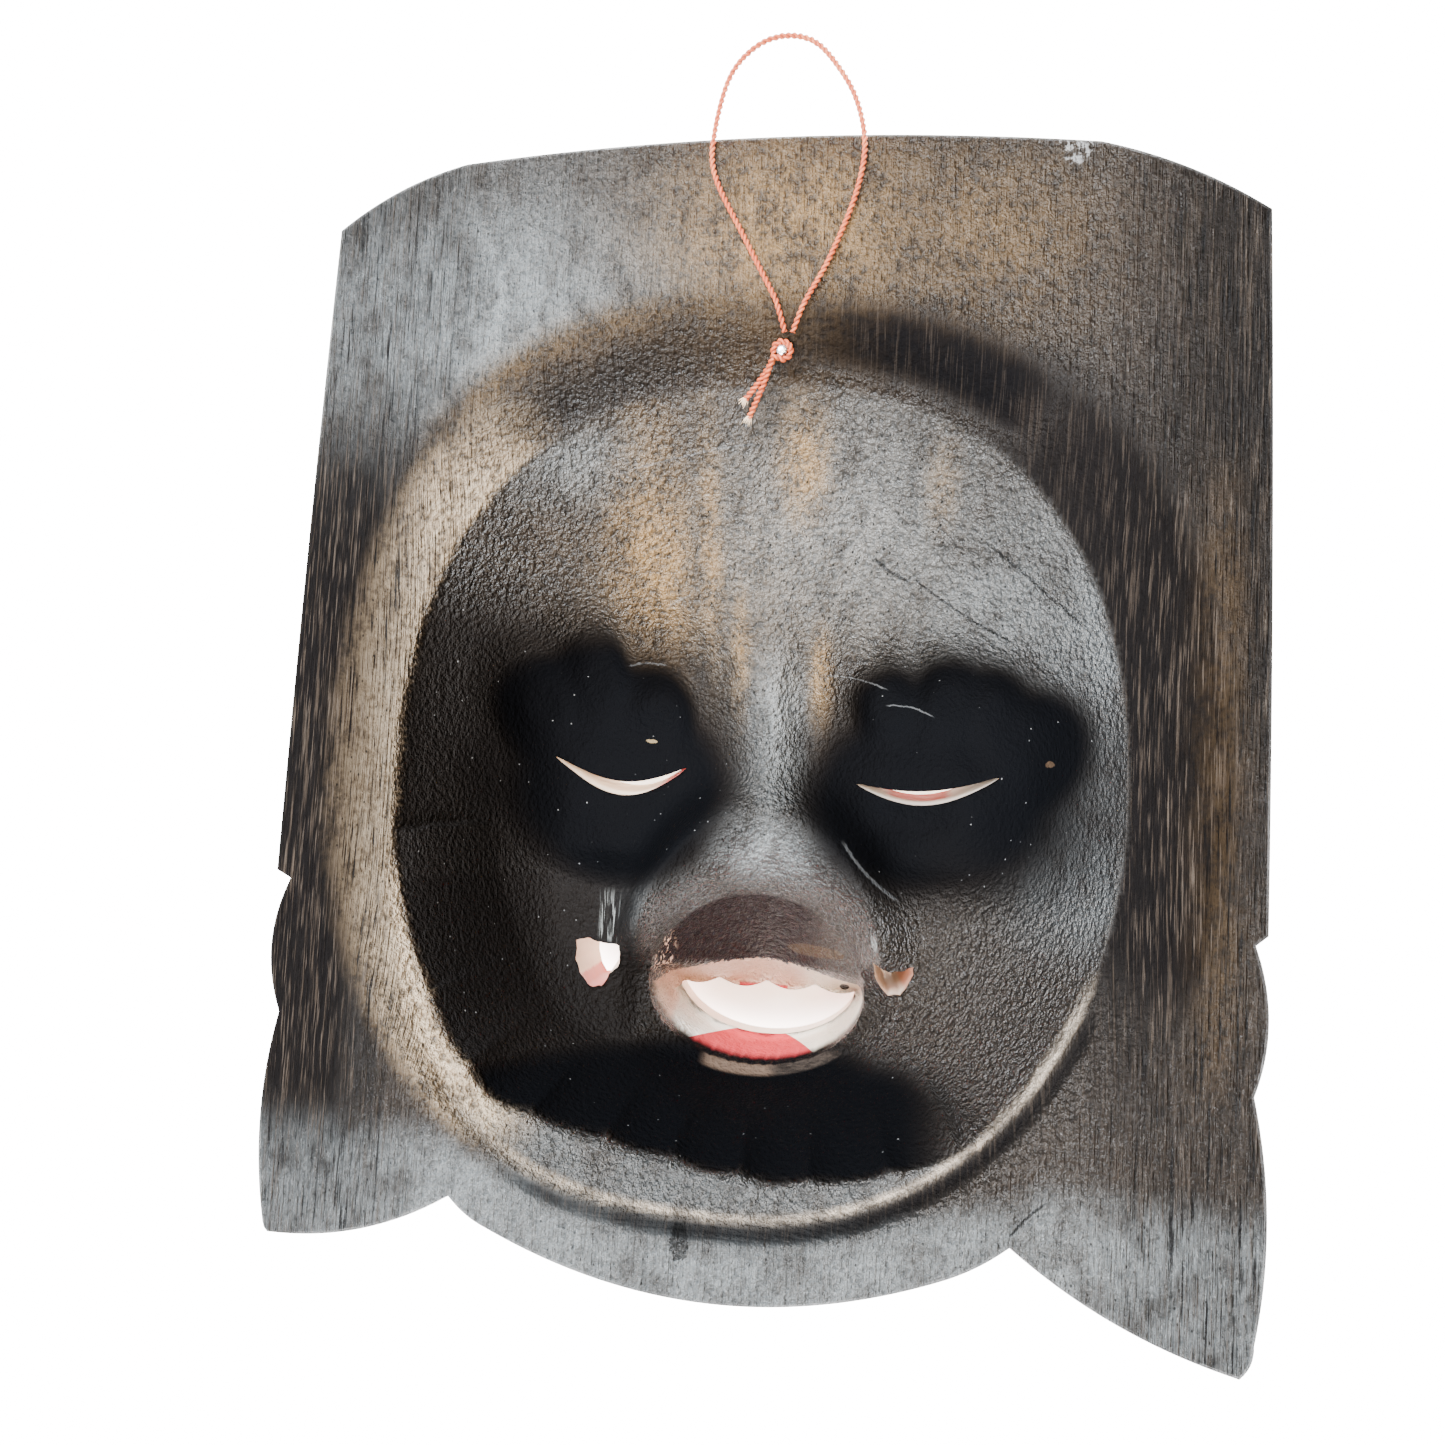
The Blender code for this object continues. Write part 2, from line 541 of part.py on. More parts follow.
def build_body():
    outer = counter_clockwise(mask_outline(7.0))
    cuts = through_cuts()
    through = [back for back, face in cuts]
    face_cuts = [face for back, face in cuts]
    nail = round_hole(NAIL_X, NAIL_Y, NAIL_SHANK_RADIUS + NAIL_CLEARANCE, 10)
    nail_floor = -float(back_depth(NAIL_X, NAIL_Y)) - NAIL_IN_WOOD - NAIL_CLEARANCE
    rim = inset(outer, EDGE_CHAMFER)
    hood = circle_radius(HOOD_X, MOUTH_Y, HOOD_HALF_WIDTH, HOOD_HEIGHT)
    back_creases = [
        ring_at(rim_inner, HOLLOW_X, HOLLOW_Y, 1.0, 84),
        ring_at(rim_outer, HOLLOW_X, HOLLOW_Y, 1.0, 56),
        ring_at(mouth_radius, MOUTH_X, MOUTH_Y, 1.0, 36),
        ring_at(hood, HOOD_X, MOUTH_Y, 1.0, 15, 38.0, 142.0),
    ]
    front_creases = [
        ring_at(face_radius, FACE_X, FACE_Y, 1.0, 64),
        ring_at(face_radius, FACE_X, FACE_Y, COLLAR_RADIUS, 44, 150.0, 390.0),
    ]
    for level in CREST_LEVELS:
        for edge in (level, level - CREST_RISER):
            front_creases.append(ring_at(crest_radius, CREST_X, CREST_Y, edge, 26))
    for first, last in ((40.0, 140.0), (205.0, 335.0)):
        front_creases.append(ring_at(lip_radius, MOUTH_X, MOUTH_Y - LIP_BELOW_MOUTH, LIP_CREST, 12,
                                     first, last))
    for first, last in ((26.0, 60.0), (120.0, 154.0)):
        for level in (0.92, 1.08):
            front_creases.append(ring_at(diadem_radius, FACE_X, FACE_Y, level, 10, first, last))
    for ex, ey in (EYE_LEFT, EYE_RIGHT):
        ball = circle_radius(ex, ey, EYE_RADIUS, EYE_RADIUS)
        front_creases.append(ring_at(ball, ex, ey, 1.0, 19, -8.0, 188.0))
    pts_b, size_b = fitted_points(back_depth, 13.0, 3.25, 1.1)
    pts_f, size_f = fitted_points(front_depth, 13.0, 3.25, 1.7)
    back_xy, back_tris, back_loop = triangulate(outer, through + [nail], back_creases,
                                                pts_b, size_b)
    off_crest = crest_radius(pts_f[:, 0], pts_f[:, 1]) > 1.02
    front_xy, front_tris, front_loop = triangulate(rim, face_cuts, front_creases,
                                                   pts_f[off_crest], size_f[off_crest])
    back_z = -back_depth(back_xy[:, 0], back_xy[:, 1])
    front_z = -front_depth(front_xy[:, 0], front_xy[:, 1])

    bm = bmesh.new()
    back = [bm.verts.new((x, y, z)) for (x, y), z in zip(back_xy, back_z)]
    front = [bm.verts.new((x, y, z)) for (x, y), z in zip(front_xy, front_z)]
    for a, b, c in back_tris:
        bm.faces.new((back[a], back[b], back[c]))
    for a, b, c in front_tris:
        bm.faces.new((front[c], front[b], front[a]))

    def wall(upper, lower):
        count = len(upper)
        for i in range(count):
            j = (i + 1) % count
            bm.faces.new((upper[i], lower[i], lower[j]))
            bm.faces.new((upper[i], lower[j], upper[j]))

    start = 0
    for number, loop in enumerate([outer] + through + [nail]):
        count = len(loop)
        top = [back[k] for k in back_loop[start:start + count]]
        if number == 0:
            low_z = [front[k].co.z for k in front_loop[start:start + count]]
            middle = [bm.verts.new((x, y, z + EDGE_CHAMFER_RISE)) for (x, y), z in zip(outer, low_z)]
            wall(top, middle)
            wall(middle, [front[k] for k in front_loop[start:start + count]])
        elif loop is nail:
            bottom = [bm.verts.new((x, y, nail_floor)) for x, y in loop]
            wall(top, bottom)
            bm.faces.new(bottom)
        else:
            wall(top, [front[k] for k in front_loop[start:start + count]])
        start += count
    bmesh.ops.triangulate(bm, faces=[f for f in bm.faces if len(f.verts) > 3])
    bmesh.ops.recalc_face_normals(bm, faces=bm.faces)
    return bm


def route_points(keys, count):
    # Smooth even route through the key points.
    keys = np.array(keys, dtype=float)
    dense = []
    for i in range(len(keys) - 1):
        p0 = keys[max(i - 1, 0)]
        p1, p2 = keys[i], keys[i + 1]
        p3 = keys[min(i + 2, len(keys) - 1)]
        for k in range(24):
            t = k / 24
            dense.append(0.5 * (2 * p1 + (p2 - p0) * t + (2 * p0 - 5 * p1 + 4 * p2 - p3) * t * t
                                + (3 * p1 - p0 - 3 * p2 + p3) * t ** 3))
    dense.append(keys[-1])
    dense = np.array(dense)
    run = np.concatenate(([0.0], np.cumsum(np.linalg.norm(np.diff(dense, axis=0), axis=1))))
    even = np.linspace(0.0, run[-1], count)
    return np.stack([np.interp(even, run, dense[:, k]) for k in range(3)], axis=1)


def loop_route():
    # Up from the knot over the edge of the bevel, round in a loop past the top edge and back.
    x, y = NAIL_X, NAIL_Y
    keys = (
        (x + 0.55, y + 3.2, -1.1), (x - 0.5, y + 6.5, 0.8), (x - 1.6, y + 9.5, 1.05),
        (-4.3, 122.5, 0.95), (-11.0, 135.6, 0.95), (-11.8, 144.3, 0.9), (-9.3, 157.2, 0.5),
        (-4.3, 163.9, 0.2), (1.8, 166.2, 0.1), (8.2, 164.5, 0.2), (13.6, 158.2, 0.5),
        (17.6, 150.5, 0.8), (19.5, 140.8, 0.9), (17.9, 130.3, 0.95), (13.4, 117.8, 0.95),
        (x + 5.1, y + 9.5, 1.05), (x + 3.7, y + 6.5, 0.8), (x + 2.15, y + 3.1, -1.1),
    )
    return route_points(keys, 68)


def knot_route():
    # One free end, a full turn round the nail, and the other free end.
    x, y = NAIL_X, NAIL_Y
    base = -float(back_depth(x, y))
    keys = [(x - 8.0, y - 7.7, base - 4.2), (x - 5.1, y - 4.9, base - 2.0)]
    tilt = math.radians(20.0)
    for i in range(13):
        a = math.radians(215.0 - 30.0 * i)
        rise = base + 1.75 + 1.25 * i / 12
        dx, dy = KNOT_RADIUS * math.cos(a), KNOT_RADIUS * math.sin(a)
        keys.append((x + dx, y + dy * math.cos(tilt), rise + dy * math.sin(tilt)))
    keys += [(x - 4.0, y - 5.9, base - 1.0), (x - 7.2, y - 11.4, base - 5.0)]
    return route_points(keys, 26)


def tube(name, points, diameter, shift):
    data = bpy.data.curves.new(name, "CURVE")
    data.dimensions = "3D"
    data.bevel_depth = diameter / 2 * MM
    data.bevel_resolution = 2
    data.render_resolution_u = 0
    data.use_fill_caps = True
    line = data.splines.new("POLY")
    line.points.add(len(points) - 1)
    for slot, p in zip(line.points, points):
        slot.co = (*((np.array(p) + shift) * MM), 1.0)
    ob = bpy.data.objects.new(name, data)
    bpy.context.scene.collection.objects.link(ob)
    return ob


def solid(name, bm, shift, material):
    for v in bm.verts:
        v.co = (v.co + Vector(shift)) * MM
    data = bpy.data.meshes.new(name)
    bm.to_mesh(data)
    bm.free()
    ob = bpy.data.objects.new(name, data)
    data.materials.append(material)
    bpy.context.scene.collection.objects.link(ob)
    return ob


def build_nail():
    base = -float(back_depth(NAIL_X, NAIL_Y))
    head = base + NAIL_STANDS_OUT
    profile = ((0.0, head + 0.45), (0.5, head + 0.32), (NAIL_HEAD_RADIUS, head),
               (NAIL_HEAD_RADIUS, head - 0.3), (NAIL_SHANK_RADIUS, head - 0.5),
               (NAIL_SHANK_RADIUS, base - NAIL_IN_WOOD + 1.5), (0.0, base - NAIL_IN_WOOD))
    bm = bmesh.new()
    sides = 16
    rings = []
    for r, z in profile:
        if r == 0.0:
            rings.append([bm.verts.new((NAIL_X, NAIL_Y, z))])
        else:
            turn = 2 * math.pi / sides
            rings.append([bm.verts.new((NAIL_X + r * math.cos(turn * i),
                                        NAIL_Y + r * math.sin(turn * i), z)) for i in range(sides)])
    for a, b in zip(rings, rings[1:]):
        for i in range(sides):
            j = (i + 1) % sides
            if len(a) == 1:
                bm.faces.new((a[0], b[i], b[j]))
            elif len(b) == 1:
                bm.faces.new((a[i], b[0], a[j]))
            else:
                bm.faces.new((a[i], b[i], b[j], a[j]))
    bmesh.ops.recalc_face_normals(bm, faces=bm.faces)
    return bm


def paint(name, colour, roughness):
    m = bpy.data.materials.new(name)
    m.use_nodes = True
    shader = m.node_tree.nodes["Principled BSDF"]
    shader.inputs["Base Color"].default_value = (*colour, 1.0)
    shader.inputs["Roughness"].default_value = roughness
    return m


def main():
    for ob in list(bpy.data.objects):
        bpy.data.objects.remove(ob, do_unlink=True)
    wood = paint("painted_wood", (0.05, 0.045, 0.04), 0.35)
    steel = paint("nail_steel", (0.6, 0.6, 0.6), 0.3)
    twine = paint("cord_twine", (0.7, 0.25, 0.1), 0.6)

    body = build_body()
    xs = [v.co.x for v in body.verts]
    ys = [v.co.y for v in body.verts]
    shift = (-(min(xs) + max(xs)) / 2, -(min(ys) + max(ys)) / 2, TOTAL_DEPTH)
    solid("mask_body", body, shift, wood)
    solid("hanging_nail", build_nail(), shift, steel)
    for name, points in (("hanging_cord", loop_route()), ("cord_knot", knot_route())):
        ob = tube(name, points, CORD_DIAMETER, np.array(shift))
        ob.data.materials.append(twine)


main()
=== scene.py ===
# Looks of the carved wall mask: fine carved surface, paint, twine, nail, floor, light and camera.
# Shapes are worked out in millimetres in the mask's own frame, as in the part's source:
# X to the right as seen from the back, Y toward the crown, depth counted from the back plane.
import math

import bmesh
import bpy
import numpy as np
from mathutils import Matrix, Vector
from mathutils.geometry import delaunay_2d_cdt


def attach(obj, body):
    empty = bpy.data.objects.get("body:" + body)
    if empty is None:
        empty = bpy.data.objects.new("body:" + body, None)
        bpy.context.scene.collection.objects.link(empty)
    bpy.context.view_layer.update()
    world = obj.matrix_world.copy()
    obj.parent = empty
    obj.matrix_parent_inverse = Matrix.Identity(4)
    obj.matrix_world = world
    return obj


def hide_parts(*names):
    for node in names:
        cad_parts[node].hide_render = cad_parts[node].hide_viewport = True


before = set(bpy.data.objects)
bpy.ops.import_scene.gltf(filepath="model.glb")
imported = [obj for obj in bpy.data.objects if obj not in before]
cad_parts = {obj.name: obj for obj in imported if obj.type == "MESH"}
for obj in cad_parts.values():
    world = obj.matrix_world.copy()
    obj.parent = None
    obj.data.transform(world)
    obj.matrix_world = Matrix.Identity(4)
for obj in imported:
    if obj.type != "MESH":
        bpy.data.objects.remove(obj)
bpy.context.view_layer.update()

MM = 0.001

# Overall sizes
MASK_WIDTH = 197.8
MASK_HEIGHT = 236.3
MASK_X, MASK_Y = 1.475, 26.55
TOTAL_DEPTH = 92.0
EDGE_DEPTH = 15.0
EDGE_CHAMFER = 1.4
MIN_WALL = 7.0

# Carved hollow in the back, a superellipse with a bevelled rim
HOLLOW_X, HOLLOW_Y = 0.5, 10.5
BORDER_SIDE, BORDER_END = 23.9, 33.15
HOLLOW_HALF_WIDTH = MASK_WIDTH / 2 - BORDER_SIDE
HOLLOW_HALF_HEIGHT = MASK_HEIGHT / 2 - BORDER_END
BEVEL_LEFT, BEVEL_RIGHT = 11.5, 15.0
BEVEL_TOP, BEVEL_BOTTOM = 11.5, 3.0
UPPER_FLOOR, LOWER_FLOOR = 40.0, 44.0
SOCKET_DEPTH = 11.0
# Gentle band at the chin: its width at each turn in degrees from straight down, its slope, and
# the run of the drop behind it
CHIN_BAND_TURN = (-80.0, -55.0, -36.0, -24.0, -14.0, 4.0, 18.0, 34.0)
CHIN_BAND_WIDTH = (0.0, 3.8, 4.6, 8.2, 8.4, 6.0, 4.0, 0.0)
CHIN_BAND_SLOPE = 0.4
CHIN_DROP_RUN = 12.0

# Mouth bore
MOUTH_X, MOUTH_Y = 0.0, -38.0
MOUTH_HALF_WIDTH = 26.0
MOUTH_UP, MOUTH_DOWN = 23.0, 17.6
MOUTH_EDGE_DEPTH = 49.0
HOOD_X = 1.0
HOOD_HALF_WIDTH, HOOD_HEIGHT, HOOD_DEPTH = 30.0, 42.0, 34.0

# Teeth and tongue at the far end of the bore, and the slanted cuts of eyes and tusks
TEETH_BELOW_MOUTH = 2.4
TOOTH_WIDTH, TOOTH_CURVE = 12.8, 2.2
SLIT_HALF_WIDTH, SLIT_SLANT = 16.6, 2.8
TUSK_NARROWING = 0.5

# Lips round the mouth on the face
LIP_HALF_WIDTH, LIP_HALF_HEIGHT = 27.0, 11.5
LIP_BELOW_MOUTH = 8.0
LIP_CREST = 1.42

# Face on the front
FACE_X, FACE_Y = 1.0, 2.0
FACE_HALF_WIDTH = HOLLOW_HALF_WIDTH + MIN_WALL
FACE_ABOVE, FACE_BELOW = 3.0, -1.0
FACE_TOP = HOLLOW_HALF_HEIGHT + FACE_ABOVE
FACE_BOTTOM = HOLLOW_HALF_HEIGHT + FACE_BELOW
FACE_DEPTH = 57.0
MUZZLE_DEPTH = 82.0
EYE_LEFT = (-36.2, 24.0)
EYE_RIGHT = (38.6, 24.0)
EYE_RADIUS = 17.0
COLLAR_RADIUS = 1.05
DIADEM_IN_SIDE, DIADEM_IN_TOP = 10.0, 8.0
DIADEM_HALF_WIDTH = FACE_HALF_WIDTH - DIADEM_IN_SIDE
DIADEM_HALF_HEIGHT = FACE_TOP - DIADEM_IN_TOP
CROWN_BELOW_FACE_TOP = 6.0
CROWN_START = FACE_Y + FACE_TOP - CROWN_BELOW_FACE_TOP
CREST_ABOVE_FACE = 7.0
CREST_X, CREST_Y = FACE_X, FACE_Y + FACE_TOP + CREST_ABOVE_FACE
CREST_HALF_WIDTH, CREST_UP, CREST_DOWN = 29.0, 31.0, 20.0
CREST_BASE_DEPTH = 44.0
CREST_LEVELS = (1.0, 0.86, 0.71, 0.56, 0.41)
CREST_RISER = 0.06

# Nail in the upper bevel, a little above the hollow, and the cord
NAIL_X = 4.2
NAIL_ABOVE_HOLLOW = 4.6
NAIL_Y = HOLLOW_Y + HOLLOW_HALF_HEIGHT + NAIL_ABOVE_HOLLOW
NAIL_HEAD_RADIUS, NAIL_SHANK_RADIUS = 1.05, 0.5
NAIL_STANDS_OUT, NAIL_IN_WOOD = 2.75, 7.5
KNOT_RADIUS = 1.95

# Camera frame, twine and floor
PHOTO_PIXELS, FOCAL_PIXELS = 1445.0, 1075.0
ROPE_RADIUS = 0.62
STRANDS = 2
FRAY_FIBRES = 18
FLOOR_GLOW = 14.0
# Dimmer cream glow of the floor under the mask, a painted shadow seen through the openings
UNDER_MASK_SHADOW_GLOW = 1.6
WORLD_LIGHT = 0.07


def smooth(a, b, v):
    t = np.clip((v - a) / (b - a), 0.0, 1.0)
    return t * t * (3.0 - 2.0 * t)


def fade(a, b, v):
    return 1.0 - smooth(a, b, v)


def mix(a, b, t):
    return a + (b - a) * t


def hump(x, y, cx, cy, sx, sy):
    return np.exp(-(((x - cx) / sx) ** 2 + ((y - cy) / sy) ** 2))


def softmax(a, b, k):
    return 0.5 * (a + b + np.sqrt((a - b) ** 2 + k * k))


def oval(x, y, cx, cy, left, right, up, down, powers):
    # Superellipse radius with its own half sizes and roundness in each quarter.
    dx = x - cx
    dy = y - cy
    ax = np.where(dx < 0, left, right)
    ay = np.where(dy < 0, down, up)
    n = np.where(dy >= 0, np.where(dx < 0, powers[0], powers[1]),
                 np.where(dx < 0, powers[2], powers[3]))
    u = np.maximum(np.abs(dx) / ax, 1e-9)
    v = np.maximum(np.abs(dy) / ay, 1e-9)
    return (u ** n + v ** n) ** (1.0 / n)


def rim_inner(x, y):
    w, h = HOLLOW_HALF_WIDTH, HOLLOW_HALF_HEIGHT
    return oval(x, y, HOLLOW_X, HOLLOW_Y, w, w, h, h, (2.35, 2.35, 2.7, 2.1))


def rim_outer(x, y):
    w, h = HOLLOW_HALF_WIDTH, HOLLOW_HALF_HEIGHT
    return oval(x, y, HOLLOW_X, HOLLOW_Y, w + BEVEL_LEFT, w + BEVEL_RIGHT,
                h + BEVEL_TOP, h + BEVEL_BOTTOM, (2.35, 2.35, 2.15, 2.1))


def mouth_radius(x, y):
    return oval(x, y, MOUTH_X, MOUTH_Y, MOUTH_HALF_WIDTH, MOUTH_HALF_WIDTH, MOUTH_UP, MOUTH_DOWN,
                (2.0, 2.0, 2.0, 2.0))


def face_radius(x, y):
    return oval(x, y, FACE_X, FACE_Y, FACE_HALF_WIDTH, FACE_HALF_WIDTH, FACE_TOP, FACE_BOTTOM,
                (2.6, 2.6, 2.3, 2.3))


def diadem_radius(x, y):
    w, h = DIADEM_HALF_WIDTH, DIADEM_HALF_HEIGHT
    return oval(x, y, FACE_X, FACE_Y, w, w, h, h, (2.4, 2.4, 2.4, 2.4))


def crest_radius(x, y):
    return oval(x, y, CREST_X, CREST_Y, CREST_HALF_WIDTH, CREST_HALF_WIDTH, CREST_UP, CREST_DOWN,
                (1.9, 1.9, 2.0, 2.0))


def lip_radius(x, y):
    across = (x - MOUTH_X) / LIP_HALF_WIDTH
    return np.sqrt(across ** 2 + ((y - MOUTH_Y + LIP_BELOW_MOUTH) / LIP_HALF_HEIGHT) ** 2)


def sockets(x, y):
    # Gouged eye sockets with the lobes that the chisel left along their upper edges,
    # each an oval given by its centre, half sizes, tilt in degrees and share of the full depth.
    lobes = (
        (-35.0, 8.0, 32.0, 28.5, 0.0, 1.0), (-54.5, 28.0, 9.5, 14.0, 0.0, 0.95),
        (-42.0, 35.0, 10.0, 15.0, 0.0, 0.9), (-28.0, 27.5, 10.0, 12.0, 0.0, 1.0),
        (-19.5, 42.0, 14.5, 7.0, -35.0, 0.3),
        (38.5, 9.0, 33.5, 26.0, 0.0, 1.0), (28.5, 32.0, 8.0, 11.0, 0.0, 0.75),
        (43.0, 32.0, 10.5, 12.5, 0.0, 0.9), (53.0, 30.0, 6.5, 11.0, 0.0, 0.95),
        (61.0, 22.5, 10.5, 13.5, 0.0, 1.0), (20.0, 39.0, 6.5, 10.0, 10.0, 0.3),
        (9.0, 32.0, 4.5, 15.0, 0.0, 0.25),
    )
    best = np.zeros_like(x)
    for cx, cy, half_x, half_y, tilt, share in lobes:
        c, s = math.cos(math.radians(tilt)), math.sin(math.radians(tilt))
        u = ((x - cx) * c + (y - cy) * s) / half_x
        v = ((y - cy) * c - (x - cx) * s) / half_y
        best = 1.0 - (1.0 - best) * (1.0 - share * fade(0.3, 1.25, np.sqrt(u * u + v * v)))
    return best


def back_depth(x, y):
    # Depth of the hollow side below the flat back plane.
    x = np.asarray(x, dtype=float)
    y = np.asarray(y, dtype=float)
    dx = x - HOLLOW_X
    dy = y - HOLLOW_Y
    r = np.sqrt(dx * dx + dy * dy) + 1e-6
    ux = dx / r
    uy = dy / r
    inner = rim_inner(x, y)
    outer = rim_outer(x, y)
    up = np.maximum(uy, 0.0)
    bevel = 4.0 + 5.0 * up ** 2 + 2.0 * np.maximum(ux, 0.0) ** 2 - np.maximum(-uy, 0.0) ** 2
    outside = np.maximum(inner - 1.0, 0.0)
    t = outside / (outside + np.maximum(1.0 - outer, 0.0) + 1e-6)
    slope = bevel * np.where(outer < 1.0, 1.0 - t, 0.0)

    inward = r / inner - r
    reach = 26.0 + 54.0 * up ** 1.5 + 4.0 * np.maximum(ux, 0.0)
    power = 1.9 - 0.4 * up
    fill = 1.0 - (1.0 - np.clip(inward / reach, 0.0, 1.0)) ** power
    floor = mix(LOWER_FLOOR, UPPER_FLOOR, smooth(-30.0, 10.0, y))
    depth = np.where(inner < 1.0, bevel + (floor - bevel) * fill, slope)

    # Gentle band inside the rim at the chin, before the gouge cuts drop away
    turn = np.degrees(np.arctan2(dx, -dy))
    band = np.interp(turn, CHIN_BAND_TURN, CHIN_BAND_WIDTH)
    gentle = bevel + CHIN_BAND_SLOPE * inward
    past = np.clip((inward - band) / CHIN_DROP_RUN, 0.0, 1.0) ** 0.7
    in_band = (inner < 1.0) & (band > 0.01)
    depth = np.where(in_band, mix(np.minimum(depth, gentle), depth, past), depth)

    room = smooth(0.0, 16.0, inward)
    depth = depth + SOCKET_DEPTH * sockets(x, y) * room * smooth(-14.0, -2.0, y + 4.0)
    depth = depth - 3.0 * hump(x, y, 1.0, 22.0, 7.0, 26.0)

    # Raised hood over the mouth, then the bore that runs down to the teeth and tongue.
    m = mouth_radius(x, y)
    hood = np.sqrt(((x - HOOD_X) / HOOD_HALF_WIDTH) ** 2 + ((y - MOUTH_Y) / HOOD_HEIGHT) ** 2)
    upper = smooth(-40.0, -22.0, y)
    crest = np.exp(-((hood - 1.0) / 0.17) ** 2) * upper
    depth = mix(depth, np.minimum(depth, HOOD_DEPTH), crest)
    part_way = (1.0 - hood) / np.maximum((1.0 - hood) + (m - 1.0), 1e-6)
    funnel = mix(HOOD_DEPTH, MOUTH_EDGE_DEPTH, np.clip(part_way, 0.0, 1.0))
    in_funnel = (hood < 1.0) & (m >= 1.0)
    depth = np.where(in_funnel, mix(depth, funnel, upper), depth)
    around = fade(1.0, 1.35, m) * (1.0 - upper)
    depth = mix(depth, MOUTH_EDGE_DEPTH - 1.0, around)

    e = np.clip(1.0 - m, 0.0, 1.0)
    palate = 24.0 * e ** 0.8
    lower = 29.0 * np.clip(e / 0.05, 0.0, 1.0)
    bore = MOUTH_EDGE_DEPTH + mix(lower, palate, smooth(-42.0, -33.5, y))
    return np.where(m < 1.0, bore, depth)


def brow_arch(x, y, ex, ey, width, start, end):
    # Arched brow over an eye, on a ring 9 mm outside the eyeball.
    er = np.sqrt((x - ex) ** 2 + (y - ey) ** 2)
    return np.exp(-((er - EYE_RADIUS - 9.0) / width) ** 2) * smooth(ey + start, ey + end, y)


def diadem_band(x, y):
    return np.exp(-((diadem_radius(x, y) - 1.0) / 0.085) ** 4) * smooth(28.0, 44.0, y)


def raised_face(x, y):
    # Carved side, depth of wood measured from the back plane.
    dx = x - FACE_X
    dy = y - FACE_Y
    r = np.sqrt(dx * dx + dy * dy) + 1e-6
    q = face_radius(x, y)
    inward = np.maximum(r / q - r, 0.0)
    dome = 1.0 - (1.0 - np.clip(inward / 32.0, 0.0, 1.0)) ** 2
    border = EDGE_DEPTH + 2.0
    depth = border + (FACE_DEPTH - border) * dome

    # Crown leaves fanning out over the slab above the face
    ang = np.arctan2(x - FACE_X, y - 20.0)
    leaf = np.abs(np.cos(ang * 9.0))
    top = MASK_Y + MASK_HEIGHT / 2
    crown = smooth(CROWN_START, CROWN_START + 12.0, y) * fade(top - 16.0, top - 2.0, y)
    depth = depth + crown * (5.0 + 4.0 * leaf)

    # Collar of fur round the cheeks and chin, then ears and the curls at the lower corners
    collar = np.exp(-((q - COLLAR_RADIUS) / 0.055) ** 2)
    depth = depth + 6.0 * collar * fade(CROWN_START - 16.0, CROWN_START, y)
    for side in (-1.0, 1.0):
        cx = side * 0.43 * MASK_WIDTH + FACE_X
        depth = depth + 8.0 * hump(x, y, cx + side * 3.0, -27.0, 9.0, 12.0)
        depth = depth + 7.0 * hump(x, y, cx - side * 5.0, -68.0, 12.0, 13.0)
        depth = depth + 5.0 * hump(x, y, cx + side * 3.0, 10.0, 8.0, 15.0)

    # Cheeks, brows, upper lids and bulging eyes
    for ex, ey in (EYE_LEFT, EYE_RIGHT):
        side = -1.0 if ex < 0 else 1.0
        depth = depth + 8.0 * hump(x, y, ex + side * 9.0, -9.0, 15.0, 14.0)
        er = np.sqrt((x - ex) ** 2 + (y - ey) ** 2)
        depth = depth + 10.0 * brow_arch(x, y, ex, ey, 4.6, -2.0, 12.0)
        ball = FACE_DEPTH + 0.8 * np.sqrt(np.maximum(EYE_RADIUS ** 2 - er ** 2, 0.0))
        depth = np.where(er < EYE_RADIUS, softmax(depth, ball, 1.5), depth)

    # Muzzle with nose, lips and the corners for the tusks
    mq = oval(x, y, MOUTH_X, MOUTH_Y, 50.0, 50.0, 36.0, 36.0, (2.3, 2.3, 2.3, 2.3))
    muzzle = fade(0.45, 1.1, mq)
    depth = depth + (MUZZLE_DEPTH - FACE_DEPTH) * muzzle
    depth = depth + 9.0 * hump(x, y, FACE_X, 24.0, 8.0, 22.0)
    depth = depth + 14.0 * hump(x, y, FACE_X, -3.0, 10.0, 9.0)
    for side in (-1.0, 1.0):
        depth = depth + 9.0 * hump(x, y, FACE_X + side * 11.5, -7.5, 6.0, 5.5)
        depth = depth + 8.0 * hump(x, y, side * 29.5, -30.0, 4.0, 10.0)
    lq = lip_radius(x, y)
    depth = depth + 11.0 * np.exp(-((lq - LIP_CREST) / 0.24) ** 2) * fade(26.0, 42.0, np.abs(x))
    depth = depth + 12.0 * hump(x, y, FACE_X, -77.0, 24.0, 9.0)

    # Diadem across the forehead with a broad stepped lotus crest in the middle
    depth = depth + 13.0 * diadem_band(x, y)
    crest = crest_radius(x, y)
    tier = depth
    rise = (TOTAL_DEPTH + 0.5 - CREST_BASE_DEPTH) / (len(CREST_LEVELS) - 1)
    for i, level in enumerate(CREST_LEVELS):
        height = CREST_BASE_DEPTH + rise * i
        tier = mix(tier, height, 1.0 - smooth(level - CREST_RISER, level, crest))
    return np.maximum(depth, tier)


def arc(p, q, bulge, step):
    # Points from p up to but not including q, bulging to the left of the way p to q.
    chord = q - p
    length = float(np.hypot(*chord))
    sideways = np.array((-chord[1], chord[0])) * bulge
    count = max(1, int(round(length / step)))
    out = []
    for i in range(count):
        t = i / count
        out.append(tuple(p + chord * t + sideways * 4.0 * t * (1.0 - t)))
    return out


